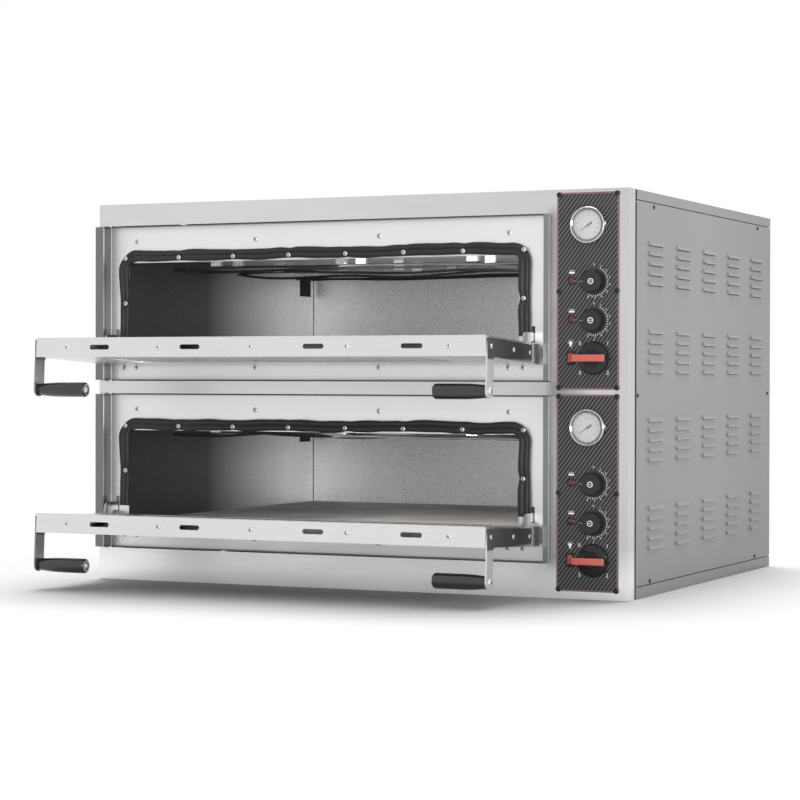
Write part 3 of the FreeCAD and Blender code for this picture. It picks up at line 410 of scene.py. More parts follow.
GAUGE_GLASS = clear("gauge_glass", (0.98, 1.0, 1.0), 0.1)
WINDOW = clear("window_glass", (0.05, 0.055, 0.055), 0.6, 0.02)
CERAMIC = moulded("terminal_ceramic", (0.75, 0.72, 0.65), 0.45, 700, 0.15).material
WHITE_INK = ink("white_ink", (0.78, 0.78, 0.78))
GREY_INK = ink("grey_ink", (0.22, 0.22, 0.23))
BLACK_INK = ink("black_ink", (0.02, 0.02, 0.02))
RED_INK = ink("red_ink", (0.2, 0.1, 0.105))
WOOL = wool()
# Near-black matte: painted shade inside screw recesses; also used for the lamp windows and the chamber seams.
RECESS = moulded("screw_recess", (0.02, 0.02, 0.02), 0.7).material

FINISHES = {
    "front_panel": fascia_steel(), "top_cover": GREY_PAINT, "base_tray": GREY_PAINT, "side_panel": GREY_PAINT,
    "rear_panel": REAR_PAINT, "chassis_frame": GALVANISED, "divider_panel": GALVANISED,
    "door_frame": FRAME_STEEL, "chamber": LINER, "baking_stones": STONE, "gasket": RUBBER,
    "door_shell": DOOR_STEEL, "door_liner": DOOR_STEEL, "door_glazing": WINDOW,
    "handle_brackets": PLATE_STEEL, "handle_grips": GRIP, "door_fasteners": SCREW_STEEL,
    "hinge_brackets": DARK_STEEL, "top_elements": ROD, "bottom_elements": ROD,
    "element_clips": CLIP_STEEL, "chamber_lamps": RECESS,
    "temperature_probes": SCREW_STEEL, "insulation": WOOL, "front_screws": SCREW_STEEL,
    "hinge_arms": DARK_STEEL, "hinge_springs": DARK_STEEL, "control_plates": FILM,
    "control_plate_screws": BLACK_SCREW, "gauge_cases": CHROME, "gauge_dials": DIAL,
    "gauge_glasses": GAUGE_GLASS, "gauge_needle": BLACK_INK, "knob": GLOSS_BLACK, "thermostats": BLACK,
    "pilot_lamps": LAMP_RED, "switch_bodies": BLACK, "main_switch_handle": RED, "light_rocker": ROCKER_RED,
    "case_screws": BLACK_SCREW, "cable_gland": BLACK, "terminal_block": CERAMIC,
}
EDGES = {
    "front_panel": 0.5, "top_cover": 0.5, "base_tray": 0.5, "door_frame": 0.45, "door_shell": 0.7,
    "door_liner": 0.35, "handle_brackets": 0.5, "baking_stones": 1.5, "control_plates": 0.3,
    "switch_bodies": 0.5, "element_clips": 0.3, "light_rocker": 0.5, "hinge_arms": 0.4, "hinge_brackets": 0.3,
    "side_panel": 0.25, "gauge_cases": 0.25, "terminal_block": 0.6, "cable_gland": 0.5,
}


def best_match(table, name):
    """The entry whose key is the longest start of a node's name."""
    keys = [key for key in table if name.startswith(key)]
    return table[max(keys, key=len)] if keys else None


def dress_nodes():
    """Gives every CAD node its material, and the sheet-metal ones finely rounded edges."""
    for name, node in NODES.items():
        node.data.materials.clear()
        node.data.materials.append(best_match(FINISHES, name))
        width = best_match(EDGES, name)
        if width:
            weld = node.modifiers.new("weld", "WELD")
            weld.merge_threshold = 0.00001
            flat = node.modifiers.new("flat", "DECIMATE")
            flat.decimate_type = "DISSOLVE"
            flat.angle_limit = math.radians(0.6)
            bevel = node.modifiers.new("edges", "BEVEL")
            bevel.width = width * MM
            bevel.segments = 2
            bevel.limit_method = "ANGLE"
            bevel.angle_limit = math.radians(50)
            bevel.use_clamp_overlap = True
            node.data.shade_smooth()
            even = node.modifiers.new("normals", "WEIGHTED_NORMAL")
            even.keep_sharp = True
            even.weight = 100


# ---------------------------------------------------------------- mesh helpers

def islands(name):
    """The box of each separate solid of a CAD node, as (low corner, high corner)."""
    mesh = bmesh.new()
    mesh.from_mesh(NODES[name].data)
    bmesh.ops.remove_doubles(mesh, verts=mesh.verts, dist=0.000005)
    waiting = set(mesh.verts)
    boxes = []
    while waiting:
        stack = [waiting.pop()]
        part = [stack[0].co.copy()]
        while stack:
            for edge in stack.pop().link_edges:
                for vert in edge.verts:
                    if vert in waiting:
                        waiting.discard(vert)
                        stack.append(vert)
                        part.append(vert.co.copy())
        low = Vector(min(p[i] for p in part) for i in range(3))
        high = Vector(max(p[i] for p in part) for i in range(3))
        boxes.append((low, high))
    mesh.free()
    return sorted(boxes, key=lambda pair: tuple(round(c, 5) for c in pair[0]))


def middle(pair):
    return (pair[0] + pair[1]) / 2


def circle(count):
    """Evenly spaced angles round a full circle."""
    return [2 * math.pi * step / count for step in range(count)]


def skin(mesh, rings):
    """Joins equal rings of points into a tube with closed ends."""
    sides = len(rings[0])
    for first, second in zip(rings, rings[1:]):
        for step in range(sides):
            after = (step + 1) % sides
            mesh.faces.new((first[step], first[after], second[after], second[step]))
    mesh.faces.new(rings[0])
    mesh.faces.new(list(reversed(rings[-1])))
    bmesh.ops.recalc_face_normals(mesh, faces=mesh.faces)


def lathe(outline, steps=40):
    """A turned shape about Z from (radius, height) points, closed where the radius is 0."""
    mesh = bmesh.new()
    rings = []
    for radius, height in outline:
        if radius < 1e-7:
            rings.append([mesh.verts.new((0, 0, height))])
            continue
        rings.append([mesh.verts.new((radius * math.cos(angle), radius * math.sin(angle), height))
                      for angle in circle(steps)])
    for lower, upper in zip(rings, rings[1:]):
        for step in range(steps):
            after = (step + 1) % steps
            corners = [lower[step % len(lower)], lower[after % len(lower)],
                       upper[after % len(upper)], upper[step % len(upper)]]
            unique = list(dict.fromkeys(corners))
            if len(unique) > 2:
                mesh.faces.new(unique)
    bmesh.ops.recalc_face_normals(mesh, faces=mesh.faces)
    return mesh


def bar(size, bevel=0.0, segments=2):
    """A rounded block centred on the origin."""
    mesh = bmesh.new()
    bmesh.ops.create_cube(mesh, size=1)
    bmesh.ops.scale(mesh, vec=size, verts=mesh.verts)
    if bevel:
        bmesh.ops.bevel(mesh, geom=mesh.edges[:], offset=bevel, segments=segments,
                        affect="EDGES", profile=0.5)
    return mesh


def blade(points, thickness):
    """A flat outline in XZ given a thickness along Y, centred on the XZ plane."""
    mesh = bmesh.new()
    face = mesh.faces.new([mesh.verts.new((x, -thickness / 2, z)) for x, z in points])
    grown = bmesh.ops.extrude_face_region(mesh, geom=[face])
    moved = [item for item in grown["geom"] if isinstance(item, bmesh.types.BMVert)]
    bmesh.ops.translate(mesh, vec=(0, thickness, 0), verts=moved)
    bmesh.ops.recalc_face_normals(mesh, faces=mesh.faces)
    return mesh


def lettering(text, height):
    """Text as a thin solid facing -Y, centred on the origin."""
    curve = bpy.data.curves.new("text", "FONT")
    curve.body = text
    curve.size = height
    curve.align_x = "CENTER"
    curve.align_y = "CENTER"
    curve.extrude = 0.00003
    holder = bpy.data.objects.new("text", curve)
    data = bpy.data.meshes.new_from_object(holder)
    mesh = bmesh.new()
    mesh.from_mesh(data)
    bmesh.ops.rotate(mesh, cent=(0, 0, 0), matrix=Matrix.Rotation(math.pi / 2, 3, "X"), verts=mesh.verts)
    bpy.data.objects.remove(holder)
    bpy.data.curves.remove(curve)
    bpy.data.meshes.remove(data)
    return mesh


TO_FRONT = Matrix.Rotation(math.pi / 2, 4, "X")
TO_RIGHT = Matrix.Rotation(math.pi / 2, 4, "Y")
TO_LEFT = Matrix.Rotation(-math.pi / 2, 4, "Y")
TO_REAR = Matrix.Rotation(-math.pi / 2, 4, "X")


class Piece:
    """A piece made of several placed shapes, each with one of the piece's materials."""

    def __init__(self, name, materials):
        self.name = name
        self.materials = materials
        self.mesh = bmesh.new()

    def put(self, shape, place, material=0, turn=None):
        """Adds a shape, turned and then moved to a place; with no material number it keeps its own."""
        data = bpy.data.meshes.new("part")
        shape.to_mesh(data)
        shape.free()
        data.transform(Matrix.Translation(place) @ (turn or Matrix.Identity(4)))
        first = len(self.mesh.faces)
        self.mesh.from_mesh(data)
        self.mesh.faces.ensure_lookup_table()
        for face in self.mesh.faces[first:] if material is not None else ():
            face.material_index = material
        bpy.data.meshes.remove(data)

    def ride(self, body, replaces=(), sharp=SHARP):
        """Makes the object, shades it and hands it to its body."""
        data = bpy.data.meshes.new(self.name)
        self.mesh.to_mesh(data)
        self.mesh.free()
        for material in self.materials:
            data.materials.append(material)
        data.shade_smooth()
        data.set_sharp_from_angle(angle=sharp)
        piece = bpy.data.objects.new(self.name, data)
        bpy.context.scene.collection.objects.link(piece)
        if replaces:
            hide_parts(*replaces)
        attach(piece, body)
        return piece


def pivot(body):
    """A point on the axis of the joint that moves a body."""
    return Vector(next(joint["pos_m"] for joint in frame["joints"] if joint["child"] == body))


# ---------------------------------------------------------------- screws

def pan_head(radius, height):
    """A domed screw head along +Z from z = 0, with a cross recess cut into it."""
    steps = 6
    outline = [(0, 0), (radius, 0), (radius, height * 0.3)]
    for step in range(1, steps):
        angle = math.pi / 2 * step / steps
        outline.append((radius * math.cos(angle), height * (0.3 + 0.7 * math.sin(angle))))
    outline.append((0, height))
    head = lathe(outline, 28)
    cutter = bmesh.new()
    for turn in (0, math.pi / 2):
        arm = bar((radius * 1.1, radius * 0.3, height))
        data = bpy.data.meshes.new("arm")
        arm.to_mesh(data)
        arm.free()
        data.transform(Matrix.Translation((0, 0, height)) @ Matrix.Rotation(turn, 4, "Z"))
        cutter.from_mesh(data)
        bpy.data.meshes.remove(data)
    head = carved(head, cutter)
    # Painted shade: faces inside the cross recess take the near-black recess material.
    for face in head.faces:
        spot = face.calc_center_median()
        across = math.hypot(spot.x, spot.y) / radius
        dome = height * (0.3 + 0.7 * math.sqrt(max(0, 1 - across ** 2)))
        face.material_index = int(across < 0.62 and 0 < spot.z < dome - height * 0.08)
    return head


def carved(shape, cutter):
    """The shape less the cutter, by an exact boolean."""
    holders = []
    for item in (shape, cutter):
        data = bpy.data.meshes.new("carve")
        item.to_mesh(data)
        item.free()
        holder = bpy.data.objects.new("carve", data)
        bpy.context.scene.collection.objects.link(holder)
        holders.append(holder)
    less = holders[0].modifiers.new("less", "BOOLEAN")
    less.operation = "DIFFERENCE"
    less.solver = "EXACT"
    less.use_self = True
    less.object = holders[1]
    bpy.context.view_layer.update()
    seen = holders[0].evaluated_get(bpy.context.evaluated_depsgraph_get())
    result = bmesh.new()
    result.from_mesh(seen.to_mesh())
    seen.to_mesh_clear()
    for holder in holders:
        data = holder.data
        bpy.data.objects.remove(holder)
        bpy.data.meshes.remove(data)
    return result


def head_piece(name, node, turn_for, body, material, growth=1.0):
    """Domed heads in place of a node's plain screws, each sized from its own solid."""
    piece = Piece(name, [material, RECESS])
    for number, pair in enumerate(islands(node)):
        low, high = pair
        turn, axis, outward = turn_for(pair)
        size = high - low
        across = [size[i] for i in range(3) if i != axis]
        radius = max(across) / 2 * growth
        height = min(radius * 0.5, size[axis])
        centre = middle(pair)
        centre[axis] = (low[axis] + height) if outward < 0 else (high[axis] - height)
        spin = Matrix.Rotation(0.7 * number, 4, "Z")
        piece.put(pan_head(radius, height), centre, None, turn=turn @ spin)
        if size[axis] > height * 1.5:
            length = size[axis] - height
            rod = lathe([(0, -length), (radius * 0.45, -length), (radius * 0.45, 0), (0, 0)], 16)
            piece.put(rod, centre, turn=turn)
    piece.ride(body, [node])


def make_screws():
    """Every visible screw: front, case, control plates and doors."""
    front, rear = (TO_FRONT, 1, -1), (TO_REAR, 1, 1)
    right, left = (TO_RIGHT, 0, 1), (TO_LEFT, 0, -1)

    def facing_front(pair):
        return front

    def facing_out(pair):
        spot = middle(pair)
        if spot.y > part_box("rear_panel")[0].y:
            return rear
        return right if spot.x > 0 else left

    head_piece("front_screw_heads", "front_screws", facing_front, CASING, SCREW_STEEL,
               growth=1.22)
    head_piece("plate_screw_heads", "control_plate_screws", facing_front, CASING, BLACK_SCREW,
               growth=1.4)
    head_piece("case_screw_heads", "case_screws", facing_out, CASING, BLACK_SCREW)
    for deck in DECKS:
        low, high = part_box(f"door_shell_{deck}")

        def facing_door(pair, low=low, high=high):
            if pair[1].x > high.x + 3 * MM:
                return right
            return left if pair[0].x < low.x or pair[1].x < low.x + 8 * MM else front

        head_piece(f"door_screw_heads_{deck}", f"door_fasteners_{deck}", facing_door, f"door_{deck}",
                   SCREW_STEEL, growth=1.1)


# ---------------------------------------------------------------- gaskets

def gasket_route(node):
    """Points down the middle of a gasket from its left foot to its right foot, every few millimetres."""
    low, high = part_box(node)
    half = 10.5 * MM
    bend = 27 * MM
    left, right, top = low.x + half, high.x - half, high.z - half
    points = []

    def straight(start, end):
        count = max(2, int((end - start).length / (4 * MM)))
        points.extend(start.lerp(end, step / count) for step in range(count))

    straight(Vector((left, 0, low.z)), Vector((left, 0, top - bend)))

    def corner(centre_x, start):
        for step in range(12):
            angle = start - math.pi / 2 * step / 12
            height = top - bend + bend * math.sin(angle)
            points.append(Vector((centre_x + bend * math.cos(angle), 0, height)))

    corner(left + bend, math.pi)
    straight(points[-1] + Vector((2 * MM, 0, 0)), Vector((right - bend, 0, top)))
    corner(right - bend, math.pi / 2)
    straight(Vector((right, 0, top - bend)), Vector((right, 0, low.z)))
    points.append(Vector((right, 0, low.z)))
    return points, low, high


def make_gasket(deck):
    """A soft double-bead seal, pinched by its screws and slack between them."""
    node = f"gasket_{deck}"
    points, low, high = gasket_route(node)
    screws = [middle(pair) for pair in islands("front_screws") if low.z < middle(pair).z < high.z]
    screws = [spot for spot in screws if low.x < spot.x < high.x and spot.z > low.z + 20 * MM]
    depth = high.y - low.y
    section = []
    for angle in circle(24):
        across = math.cos(angle)
        lobe = 0.80 + 0.32 * abs(across) ** 0.7
        section.append((across, math.sin(angle) * lobe))
    mesh = bmesh.new()
    rings = []
    for number, point in enumerate(points):
        before = points[max(0, number - 1)]
        after = points[min(len(points) - 1, number + 1)]
        along = (after - before).normalized()
        outward = Vector((-along.z, 0, along.x))
        near = min((Vector((point.x - s.x, 0, point.z - s.z)).length for s in screws), default=1)
        pinch = math.exp(-((near / (13 * MM)) ** 2))
        wave = noise.noise(Vector((point.x * 11, point.z * 11, 3.7 if deck == "upper" else 8.1)))
        slack = noise.noise(Vector((point.x * 23, point.z * 23, 1.3)))
        width = (11.2 - 1.2 * pinch + 1.6 * slack) * MM
        thick = depth / 2 * (0.93 - 0.22 * pinch)
        shift = (-0.6 + 3.6 * wave) * (1 - 0.8 * pinch) * MM
        centre = point + outward * shift + Vector((0, high.y - thick, 0))
        ring = []
        for across, up in section:
            groove = 1 - 0.42 * math.exp(-((across / 0.22) ** 2)) if up < 0 else 1
            rise = Vector((0, up * thick * groove, 0))
            ring.append(mesh.verts.new(centre + outward * across * width + rise))
        rings.append(ring)
    skin(mesh, rings)
    piece = Piece(f"seal_{deck}", [RUBBER])
    piece.put(mesh, Vector())
    piece.ride(CASING, [node], math.radians(60))


# ---------------------------------------------------------------- chambers

def tube(points, radius, sides=10):
    """A round rod along a path."""
    mesh = bmesh.new()
    rings = []
    for number, point in enumerate(points):
        along = (points[min(len(points) - 1, number + 1)] - points[max(0, number - 1)]).normalized()
        side = along.cross(Vector((0, 0, 1))).normalized()
        up = side.cross(along)
        rings.append([mesh.verts.new(point + (side * math.cos(angle) + up * math.sin(angle)) * radius)
                      for angle in circle(sides)])
    skin(mesh, rings)
    return mesh


def make_elements():
    """Ceiling heating elements: thin hairpins that have sagged and twisted a little with use."""
    piece = Piece("ceiling_rods", [ROD])
    radius = 2.7 * MM
    for number, (low, high) in enumerate(islands("top_elements")):
        turn = (high.y - low.y) / 2 - radius
        if turn < radius or high.x - low.x < 0.3:
            continue
        level = high.z - radius
        centre_y = (low.y + high.y) / 2
        path = []
        for side in (1, -1):
            leg = []
            for step in range(31):
                x = high.x + (low.x + radius + turn - high.x) * step / 30
                leg.append(Vector((x, centre_y + side * turn, level)))
            if side > 0:
                path += leg
                for step in range(1, 10):
                    angle = math.pi / 2 + math.pi * step / 10
                    centre = Vector((low.x + radius + turn, centre_y, level))
                    path.append(centre + Vector((turn * math.cos(angle), turn * math.sin(angle), 0)))
            else:
                path += reversed(leg)
        for spot in path:
            wave = noise.noise(Vector((spot.x * 5, spot.y * 9, number * 3.1)))
            spot.z -= (2.2 + 9 * wave) * MM
            spot.y += 5 * MM * noise.noise(Vector((spot.x * 4, number * 1.7, 5.5)))
        piece.put(tube(path, radius), Vector())
    piece.ride(CASING, ["top_elements"])


def make_seams(deck):
    """Dark folded seams where a chamber's rear wall meets its side walls, and the lamp's bright flange."""
    low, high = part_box(f"chamber_{deck}")
    piece = Piece(f"chamber_seams_{deck}", [RECESS, CLIP_STEEL])
    tall = high.z - low.z - 40 * MM
    level = (low.z + high.z) / 2
    for x in (low.x + 1.9 * MM, high.x - 1.9 * MM):
        piece.put(bar((1.2 * MM, 1.2 * MM, tall)), Vector((x, high.y - 2.4 * MM, level)))
    piece.put(bar((0.6 * MM, 9 * MM, tall)), Vector((low.x + 1.6 * MM, high.y - 8 * MM, level)), 1)
    piece.ride(CASING)


# ---------------------------------------------------------------- doors

def make_grips(deck):
    """Tapered moulded grips with a rounded free end, and the metal nut seen inside it."""
    piece = Piece(f"grips_{deck}", [GRIP, SCREW_STEEL])
    for pair in islands(f"handle_grips_{deck}"):
        centre = middle(pair)
        length = pair[1].x - pair[0].x
        radius = (pair[1].z - pair[0].z) / 2
        inward = TO_RIGHT if centre.x < 0 else TO_LEFT
        root = Vector((pair[0].x if centre.x < 0 else pair[1].x, centre.y, centre.z))
        outline = [(radius * 0.55, 0), (radius * 0.76, 0), (radius * 0.80, 1.2 * MM)]
        for step in range(1, 9):
            part = step / 8
            swell = 0.80 + 0.2 * math.sin(part * math.pi / 2)
            outline.append((radius * swell, 1.2 * MM + part * length * 0.45))
        outline += [(radius, length - 4.5 * MM), (radius * 0.98, length - 3 * MM),
                    (radius * 0.9, length - 1 * MM), (radius * 0.8, length), (radius * 0.52, length),
                    (radius * 0.5, length - 2.5 * MM), (0, length - 2.5 * MM)]
        piece.put(lathe(outline, 56), root, turn=inward)
        nut = [(0, 0), (radius * 0.44, 0), (radius * 0.44, 1.6 * MM), (radius * 0.3, 2 * MM), (0, 2 * MM)]
        reach = length - 2.6 * MM if centre.x < 0 else 2.6 * MM - length
        piece.put(lathe(nut, 6), root + Vector((reach, 0, 0)), 1, turn=inward)
    piece.ride(f"door_{deck}", [f"handle_grips_{deck}"])


# ---------------------------------------------------------------- controls

def of_deck(name, deck):
    """The box of a deck's own solid in a node that has one for each deck."""
    return sorted(islands(name), key=lambda pair: pair[0].z)[DECKS.index(deck)]


def ribs(piece, centre, radius, count, size, bevel):
    """Grip ribs round a control's rim."""
    for angle in circle(count):
        away = Vector((math.cos(angle), 0, math.sin(angle))) * radius
        piece.put(bar(size, bevel, 1), centre + away, turn=Matrix.Rotation(-angle, 4, "Y"))


def make_knob(deck, place):
    """A turned knob: tall straight body with a flat, ringed front."""
    name = f"knob_{deck}_{place}"
    low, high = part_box(name)
    centre = pivot(name)
    radius = (high.x - low.x) / 2
    front = low.y
    base = FRONT - 2.2 * MM
    depth = base - front
    piece = Piece(f"{name}_body", [GLOSS_BLACK, KNOB_FACE, WHITE_INK])
    outline = [(0, 0), (radius, 0), (radius, depth - 2 * MM), (radius * 0.975, depth - 0.7 * MM),
               (radius * 0.93, depth)]
    start = Vector((centre.x, base, centre.z))
    piece.put(lathe(outline, 72), start, turn=TO_FRONT)
    face = [(radius * 0.93, depth), (radius * 0.90, depth - 0.5 * MM), (radius * 0.38, depth - 0.6 * MM),
            (radius * 0.36, depth - 1 * MM), (0, depth - 1 * MM)]
    piece.put(lathe(face, 72), start, 1, turn=TO_FRONT)
    ring = [(radius * 0.27, 0), (radius * 0.27, 0.6 * MM), (radius * 0.2, 0.6 * MM), (radius * 0.2, 0),
            (radius * 0.27, 0)]
    tip = Vector((centre.x, front + 1 * MM, centre.z))
    piece.put(lathe(ring, 40), tip, 2, turn=TO_FRONT)
    piece.put(bar((radius * 0.3, 1.2 * MM, 1.1 * MM)), tip, 2)
    pointer = Vector((centre.x - radius * 0.8, front + 0.45 * MM, centre.z))
    piece.put(bar((2 * MM, 0.3 * MM, 0.6 * MM)), pointer, 2)
    ribs(piece, Vector((centre.x, base - depth * 0.34, centre.z)), radius * 0.995,
         48, (0.8 * MM, depth * 0.5, 0.8 * MM), 0.2 * MM)
    piece.ride(name, [name])


def make_switch_handle(deck):
    """The rotary switch's bar: a tall black grip with a red, finely ribbed front, on a round collar."""
    name = f"main_switch_handle_{deck}"
    low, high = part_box(name)
    centre = pivot(name)
    length = high.x - low.x
    width = 12.5 * MM
    front = low.y
    back = FRONT - 6.4 * MM
    cap = front + 3.2 * MM
    piece = Piece(f"{name}_grip", [RED, BLACK])
    grip = bar((length - 2 * MM, back - cap, width - 1 * MM), 1.2 * MM, 3)
    piece.put(grip, Vector((centre.x, (cap + back) / 2, centre.z)), 1)
    piece.put(bar((length, 2.6 * MM, width), 0.8 * MM, 2), Vector((centre.x, front + 1.9 * MM, centre.z)))
    count = 18
    for step in range(count):
        along = (step - (count - 1) / 2) * (length - 8 * MM) / (count - 1)
        rib = bar((1.5 * MM, 1.0 * MM, width - 3 * MM), 0.3 * MM, 1)
        piece.put(rib, Vector((centre.x + along, front + 0.5 * MM, centre.z)))
    collar = lathe([(0, 0), (16 * MM, 0), (16 * MM, 2.6 * MM), (14.5 * MM, 4.5 * MM), (0, 4.6 * MM)], 56)
    piece.put(collar, Vector((centre.x, back + 1 * MM, centre.z)), 1, turn=TO_FRONT)
    piece.ride(name, [name])


def make_switch_dial(deck):
    """The round escutcheon behind the switch bar, with a ribbed rim."""
    centre = pivot(f"main_switch_handle_{deck}")
    radius = 30.5 * MM
    piece = Piece(f"switch_dial_{deck}", [GLOSS_BLACK])
    outline = [(0, 0), (radius, 0), (radius, 1.6 * MM), (radius * 0.965, 2.4 * MM), (radius * 0.93, 6.4 * MM),
               (radius * 0.9, 7 * MM), (0, 7 * MM)]
    piece.put(lathe(outline, 80), Vector((centre.x, FRONT - 1.4 * MM, centre.z)), turn=TO_FRONT)
    ribs(piece, Vector((centre.x, FRONT - 5.6 * MM, centre.z)), radius * 0.955,
         60, (1.1 * MM, 4.4 * MM, 1.1 * MM), 0.3 * MM)
    piece.ride(CASING)


def make_pilot_lamps():
    """Red lamps: a thin bezel and a domed, faceted lens."""
    piece = Piece("pilot_lamp_lenses", [LAMP_RED, GLOSS_BLACK])
    for pair in islands("pilot_lamps"):
        centre = middle(pair)
        radius = (pair[1].x - pair[0].x) / 2 * 1.28
        face = pair[0].y
        bezel = [(radius, 0), (radius, 1.2 * MM), (radius * 0.9, 1.6 * MM), (radius * 0.86, 1.2 * MM),
                 (radius * 0.86, 0), (radius, 0)]
        base = Vector((centre.x, face + 1.6 * MM, centre.z))
        piece.put(lathe(bezel, 40), base, 1, turn=TO_FRONT)
        dome = [(radius * 0.87, -18 * MM), (radius * 0.87, 0.6 * MM), (radius * 0.8, 1.6 * MM),
                (radius * 0.6, 2.2 * MM), (radius * 0.3, 2.5 * MM), (0, 2.6 * MM)]
        piece.put(lathe(dome, 24), base, 0, turn=TO_FRONT)
    piece.ride(CASING, ["pilot_lamps"])


def make_needle(deck):
    """The gauge needle: a long thin point, a hub and a flared tail."""
    name = f"gauge_needle_{deck}"
    centre = pivot(name)
    low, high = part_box(name)
    rest = math.radians(-124)
    piece = Piece(f"{name}_blade", [BLACK_INK])
    outline = [(-0.9, 0), (-0.9, -3.5), (-2.7, -5.5), (0, -10), (2.7, -5.5), (0.9, -3.5), (0.9, 0),
               (0.3, 21.5), (-0.3, 21.5)]
    shape = blade([(x * MM, z * MM) for x, z in outline], 0.6 * MM)
    spot = Vector((centre.x, (low.y + high.y) / 2, centre.z))
    piece.put(shape, spot, turn=Matrix.Rotation(rest, 4, "Y"))
    hub = [(0, -1.4 * MM), (2.4 * MM, -1.4 * MM), (2.4 * MM, 1 * MM), (1.6 * MM, 1.5 * MM), (0, 1.6 * MM)]
    piece.put(lathe(hub, 28), spot, turn=TO_FRONT)
    piece.ride(name, [name])


def make_bezel(deck):
    """Extra turning on a gauge's rim: a rolled outer lip, an inner cone in dark metal for a painted dark
    reflection, a black ring for painted shade in the gap at the dial, and a small lug.
    """
    pair = of_deck("gauge_cases", deck)
    centre = Vector((middle(pair).x, pair[0].y, middle(pair).z))
    radius = (pair[1].x - pair[0].x) / 2
    piece = Piece(f"gauge_bezel_{deck}", [CHROME, PAINTED_REFLECTION_METAL, GLOSS_BLACK])
    lip = [(radius * (0.955 + 0.045 * math.cos(a)), 0.5 * MM + 1.5 * MM * math.sin(a))
           for a in (2 * math.pi * step / 12 for step in range(13))]
    piece.put(lathe(lip, 80), centre, turn=TO_FRONT)
    # Painted reflection: the inner cone's dark metal stands for the dark plate mirrored in the chrome.
    cone = [(radius * 0.915, 0.9 * MM), (radius * 0.855, -0.1 * MM), (radius * 0.83, 0.05 * MM)]
    piece.put(lathe(cone, 80), centre, 1, turn=TO_FRONT)
    # Painted shade: a black ring stands for the shadowed gap between the bezel and the dial.
    seal = [(radius * 0.845, 0.1 * MM), (radius * 0.84, 0.5 * MM), (radius * 0.815, 0.5 * MM),
            (radius * 0.81, 0.1 * MM), (radius * 0.845, 0.1 * MM)]
    piece.put(lathe(seal, 80), centre, 2, turn=TO_FRONT)
    lug = bar((4.5 * MM, 2 * MM, 7 * MM), 0.8 * MM, 2)
    piece.put(lug, centre + Vector((radius + 0.6 * MM, 0.6 * MM, 2 * MM)))
    piece.ride(CASING)


def dash(piece, place, width, height, material=0, turn=0):
    """A printed bar, turned clockwise by an angle in radians."""
    piece.put(bar((width, 0.1 * MM, height)), place, material, Matrix.Rotation(turn, 4, "Y"))


def clock(angle, radius):
    """The offset of a point at a clockwise angle from twelve o'clock, in radians."""
    return Vector((math.sin(angle), 0, math.cos(angle))) * radius


def ticks(piece, centre, radius, first, sweep, count, size, material):
    """Radial dashes clockwise from an angle, measured from twelve o'clock."""
    for step in range(count):
        angle = math.radians(first + sweep * step / (count - 1))
        dash(piece, centre + clock(angle, radius), *size, material, angle)


def numbers(piece, centre, radius, first, sweep, words, height, material):
    """Upright numbers clockwise from an angle, measured from twelve o'clock."""
    for step, word in enumerate(words):
        angle = math.radians(first + sweep * step / (len(words) - 1))
        piece.put(lettering(word, height), centre + clock(angle, radius), material)


def make_dial(deck):
    """Scale of a dial thermometer, printed on its dial."""
    pair = of_deck("gauge_dials", deck)
    centre = Vector((middle(pair).x, pair[0].y - 0.08 * MM, middle(pair).z))
    piece = Piece(f"gauge_scale_{deck}", [BLACK_INK, GREY_INK])
    ticks(piece, centre, 24.3 * MM, -135, 270, 11, (0.7 * MM, 3.4 * MM), 0)
    ticks(piece, centre, 25.0 * MM, -135, 270, 51, (0.3 * MM, 1.8 * MM), 1)
    numbers(piece, centre, 18.4 * MM, -135, 270, [str(50 * step) for step in range(11)], 4.3 * MM, 1)
    piece.ride(CASING)


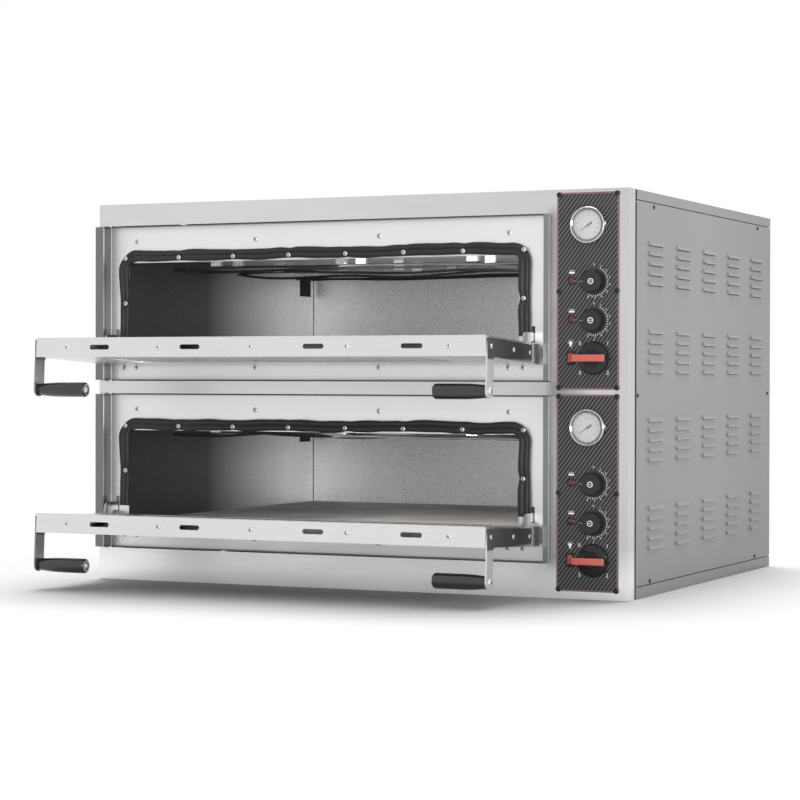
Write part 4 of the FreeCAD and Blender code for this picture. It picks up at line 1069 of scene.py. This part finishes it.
def make_print(deck):
    """Marks on a control plate: red border, knob scales, switch numbers and plain pictograms."""
    low, high = of_deck("control_plates", deck)
    face = low.y - 0.06 * MM
    piece = Piece(f"plate_print_{deck}", [WHITE_INK, RED_INK, BLACK_INK])
    width, height = high.x - low.x, high.z - low.z
    centre = Vector(((low.x + high.x) / 2, face, (low.z + high.z) / 2))
    for side in (-1, 1):
        beside = centre + Vector((side * (width / 2 - 1.5 * MM), 0, 0))
        dash(piece, beside, 2.6 * MM, height - 1 * MM, 1)
        above = centre + Vector((0, 0, side * (height / 2 - 1.5 * MM)))
        dash(piece, above, width - 6 * MM, 2.6 * MM, 1)
    lamps = [middle(pair) for pair in islands("pilot_lamps") if low.z < middle(pair).z < high.z]
    for place in ("bottom", "top"):
        spot = pivot(f"knob_{deck}_{place}")
        spot.y = face
        disc = lathe([(0, 0), (24.6 * MM, 0), (24.6 * MM, 0.1 * MM), (0, 0.1 * MM)], 56)
        piece.put(disc, spot, 2, turn=TO_FRONT)
        ticks(piece, spot, 26.4 * MM, 27, 175, 19, (1.2 * MM, 3.0 * MM), 0)
        numbers(piece, spot, 31.0 * MM, 0, 202, "012345678", 5.4 * MM, 0)
        dash(piece, spot + Vector((-26.4 * MM, 0, 0)), 2.6 * MM, 1.0 * MM)
    for lamp in lamps:
        spot = Vector((lamp.x, face, lamp.z + 14.5 * MM))
        dash(piece, spot, 11 * MM, 3.0 * MM)
        for step in (-1, 0, 1):
            dash(piece, spot + Vector((step * 3.4 * MM, 0, 3.6 * MM)), 1.2 * MM, 2.6 * MM)
    switch = pivot(f"main_switch_handle_{deck}")
    switch.y = face
    for number, (across, up) in enumerate(((-1, 1), (1, 1), (1, -1), (-1, -1))):
        place = switch + Vector((across * 27 * MM, 0, up * 27 * MM))
        piece.put(lettering(str(number), 10 * MM), place)
    dash(piece, switch + Vector((0, 0, 33 * MM)), 1.2 * MM, 2.4 * MM)
    rocker = pivot(f"light_rocker_{deck}")
    bulb = Vector((rocker.x, face, rocker.z + 26 * MM))
    glass = [(0, 0), (3.6 * MM, 0), (3.6 * MM, 0.1 * MM), (0, 0.1 * MM)]
    glow = bulb + Vector((0, 0, 1.5 * MM))
    piece.put(lathe(glass, 28), glow, turn=TO_FRONT)
    dash(piece, bulb + Vector((0, 0, -3.2 * MM)), 3.2 * MM, 3.4 * MM)
    ticks(piece, glow, 6.6 * MM, -70, 140, 5, (0.6 * MM, 2 * MM), 0)
    piece.ride(CASING)


# ---------------------------------------------------------------- studio

def area_light(name, place, target, size, power):
    data = bpy.data.lights.new(name, "AREA")
    data.shape = "RECTANGLE"
    data.size, data.size_y = size
    data.energy = power
    light = bpy.data.objects.new(name, data)
    light.location = place
    light.rotation_euler = (Vector(target) - Vector(place)).to_track_quat("-Z", "Y").to_euler()
    bpy.context.scene.collection.objects.link(light)
    return light


def make_studio():
    """Pale floor, bright surroundings, soft light from above and behind, and a low front light."""
    floor_mesh = bmesh.new()
    bmesh.ops.create_grid(floor_mesh, x_segments=1, y_segments=1, size=30)
    data = bpy.data.meshes.new("studio_floor")
    floor_mesh.to_mesh(data)
    floor_mesh.free()
    pale = Surface("pale_floor", (0.42, 0.42, 0.42), roughness=1.0)
    pale.set("Specular IOR Level", 0.0)
    pale.paint(pale.vary(pale.noise(2), 0.01))
    data.materials.append(pale.material)
    floor = bpy.data.objects.new("studio_floor", data)
    floor.location.z = CAD_BOX[0].z - 0.5 * MM
    bpy.context.scene.collection.objects.link(floor)
    world = bpy.data.worlds.new("studio")
    world.use_nodes = True
    world.node_tree.nodes["Background"].inputs["Color"].default_value = (1, 1, 1, 1)
    world.node_tree.nodes["Background"].inputs["Strength"].default_value = 1.0
    bpy.context.scene.world = world
    sky = bpy.data.lights.new("sky_light", "SUN")
    sky.energy = 4.9
    sky.angle = math.radians(40)
    sky_light = bpy.data.objects.new("sky_light", sky)
    sky_light.rotation_euler = Vector((0.15, -0.62, -1.9)).to_track_quat("-Z", "Y").to_euler()
    bpy.context.scene.collection.objects.link(sky_light)
    area_light("front_fill", (2.6, -4.4, 0.55), (-0.1, 0.1, 0.4), (1.4, 1.0), 66)
    for deck in DECKS:
        low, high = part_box(f"chamber_{deck}")
        start = (0.1, low.y + 60 * MM, high.z - 50 * MM)
        target = (high.x - 0.15, high.y, low.z + 0.12)
        glow = area_light(f"chamber_glow_{deck}", start, target, (0.5, 0.06), 0.55)
        glow.visible_camera = False
    bpy.context.scene.view_settings.view_transform = "Standard"


def make_camera():
    """A level view at mid height from the front right, with a long lens."""
    data = bpy.data.cameras.new("camera")
    data.lens = 105.97
    data.sensor_width = 36
    camera = bpy.data.objects.new("camera", data)
    yaw, pitch, roll = math.radians(24.95), math.radians(0.521), math.radians(0.124)
    turn = Matrix.Rotation(yaw, 4, "Z") @ Matrix.Rotation(math.pi / 2 - pitch, 4, "X")
    turn = turn @ Matrix.Rotation(roll, 4, "Z")
    camera.matrix_world = Matrix.Translation((1.984, -4.496, 0.403)) @ turn
    bpy.context.scene.collection.objects.link(camera)
    bpy.context.scene.camera = camera


make_camera()
make_studio()
dress_nodes()
make_screws()
make_pilot_lamps()
make_elements()
for deck_name in DECKS:
    make_seams(deck_name)
    make_bezel(deck_name)
    make_switch_dial(deck_name)
    make_gasket(deck_name)
    make_grips(deck_name)
    make_switch_handle(deck_name)
    make_needle(deck_name)
    make_dial(deck_name)
    make_print(deck_name)
    for knob_place in ("bottom", "top"):
        make_knob(deck_name, knob_place)
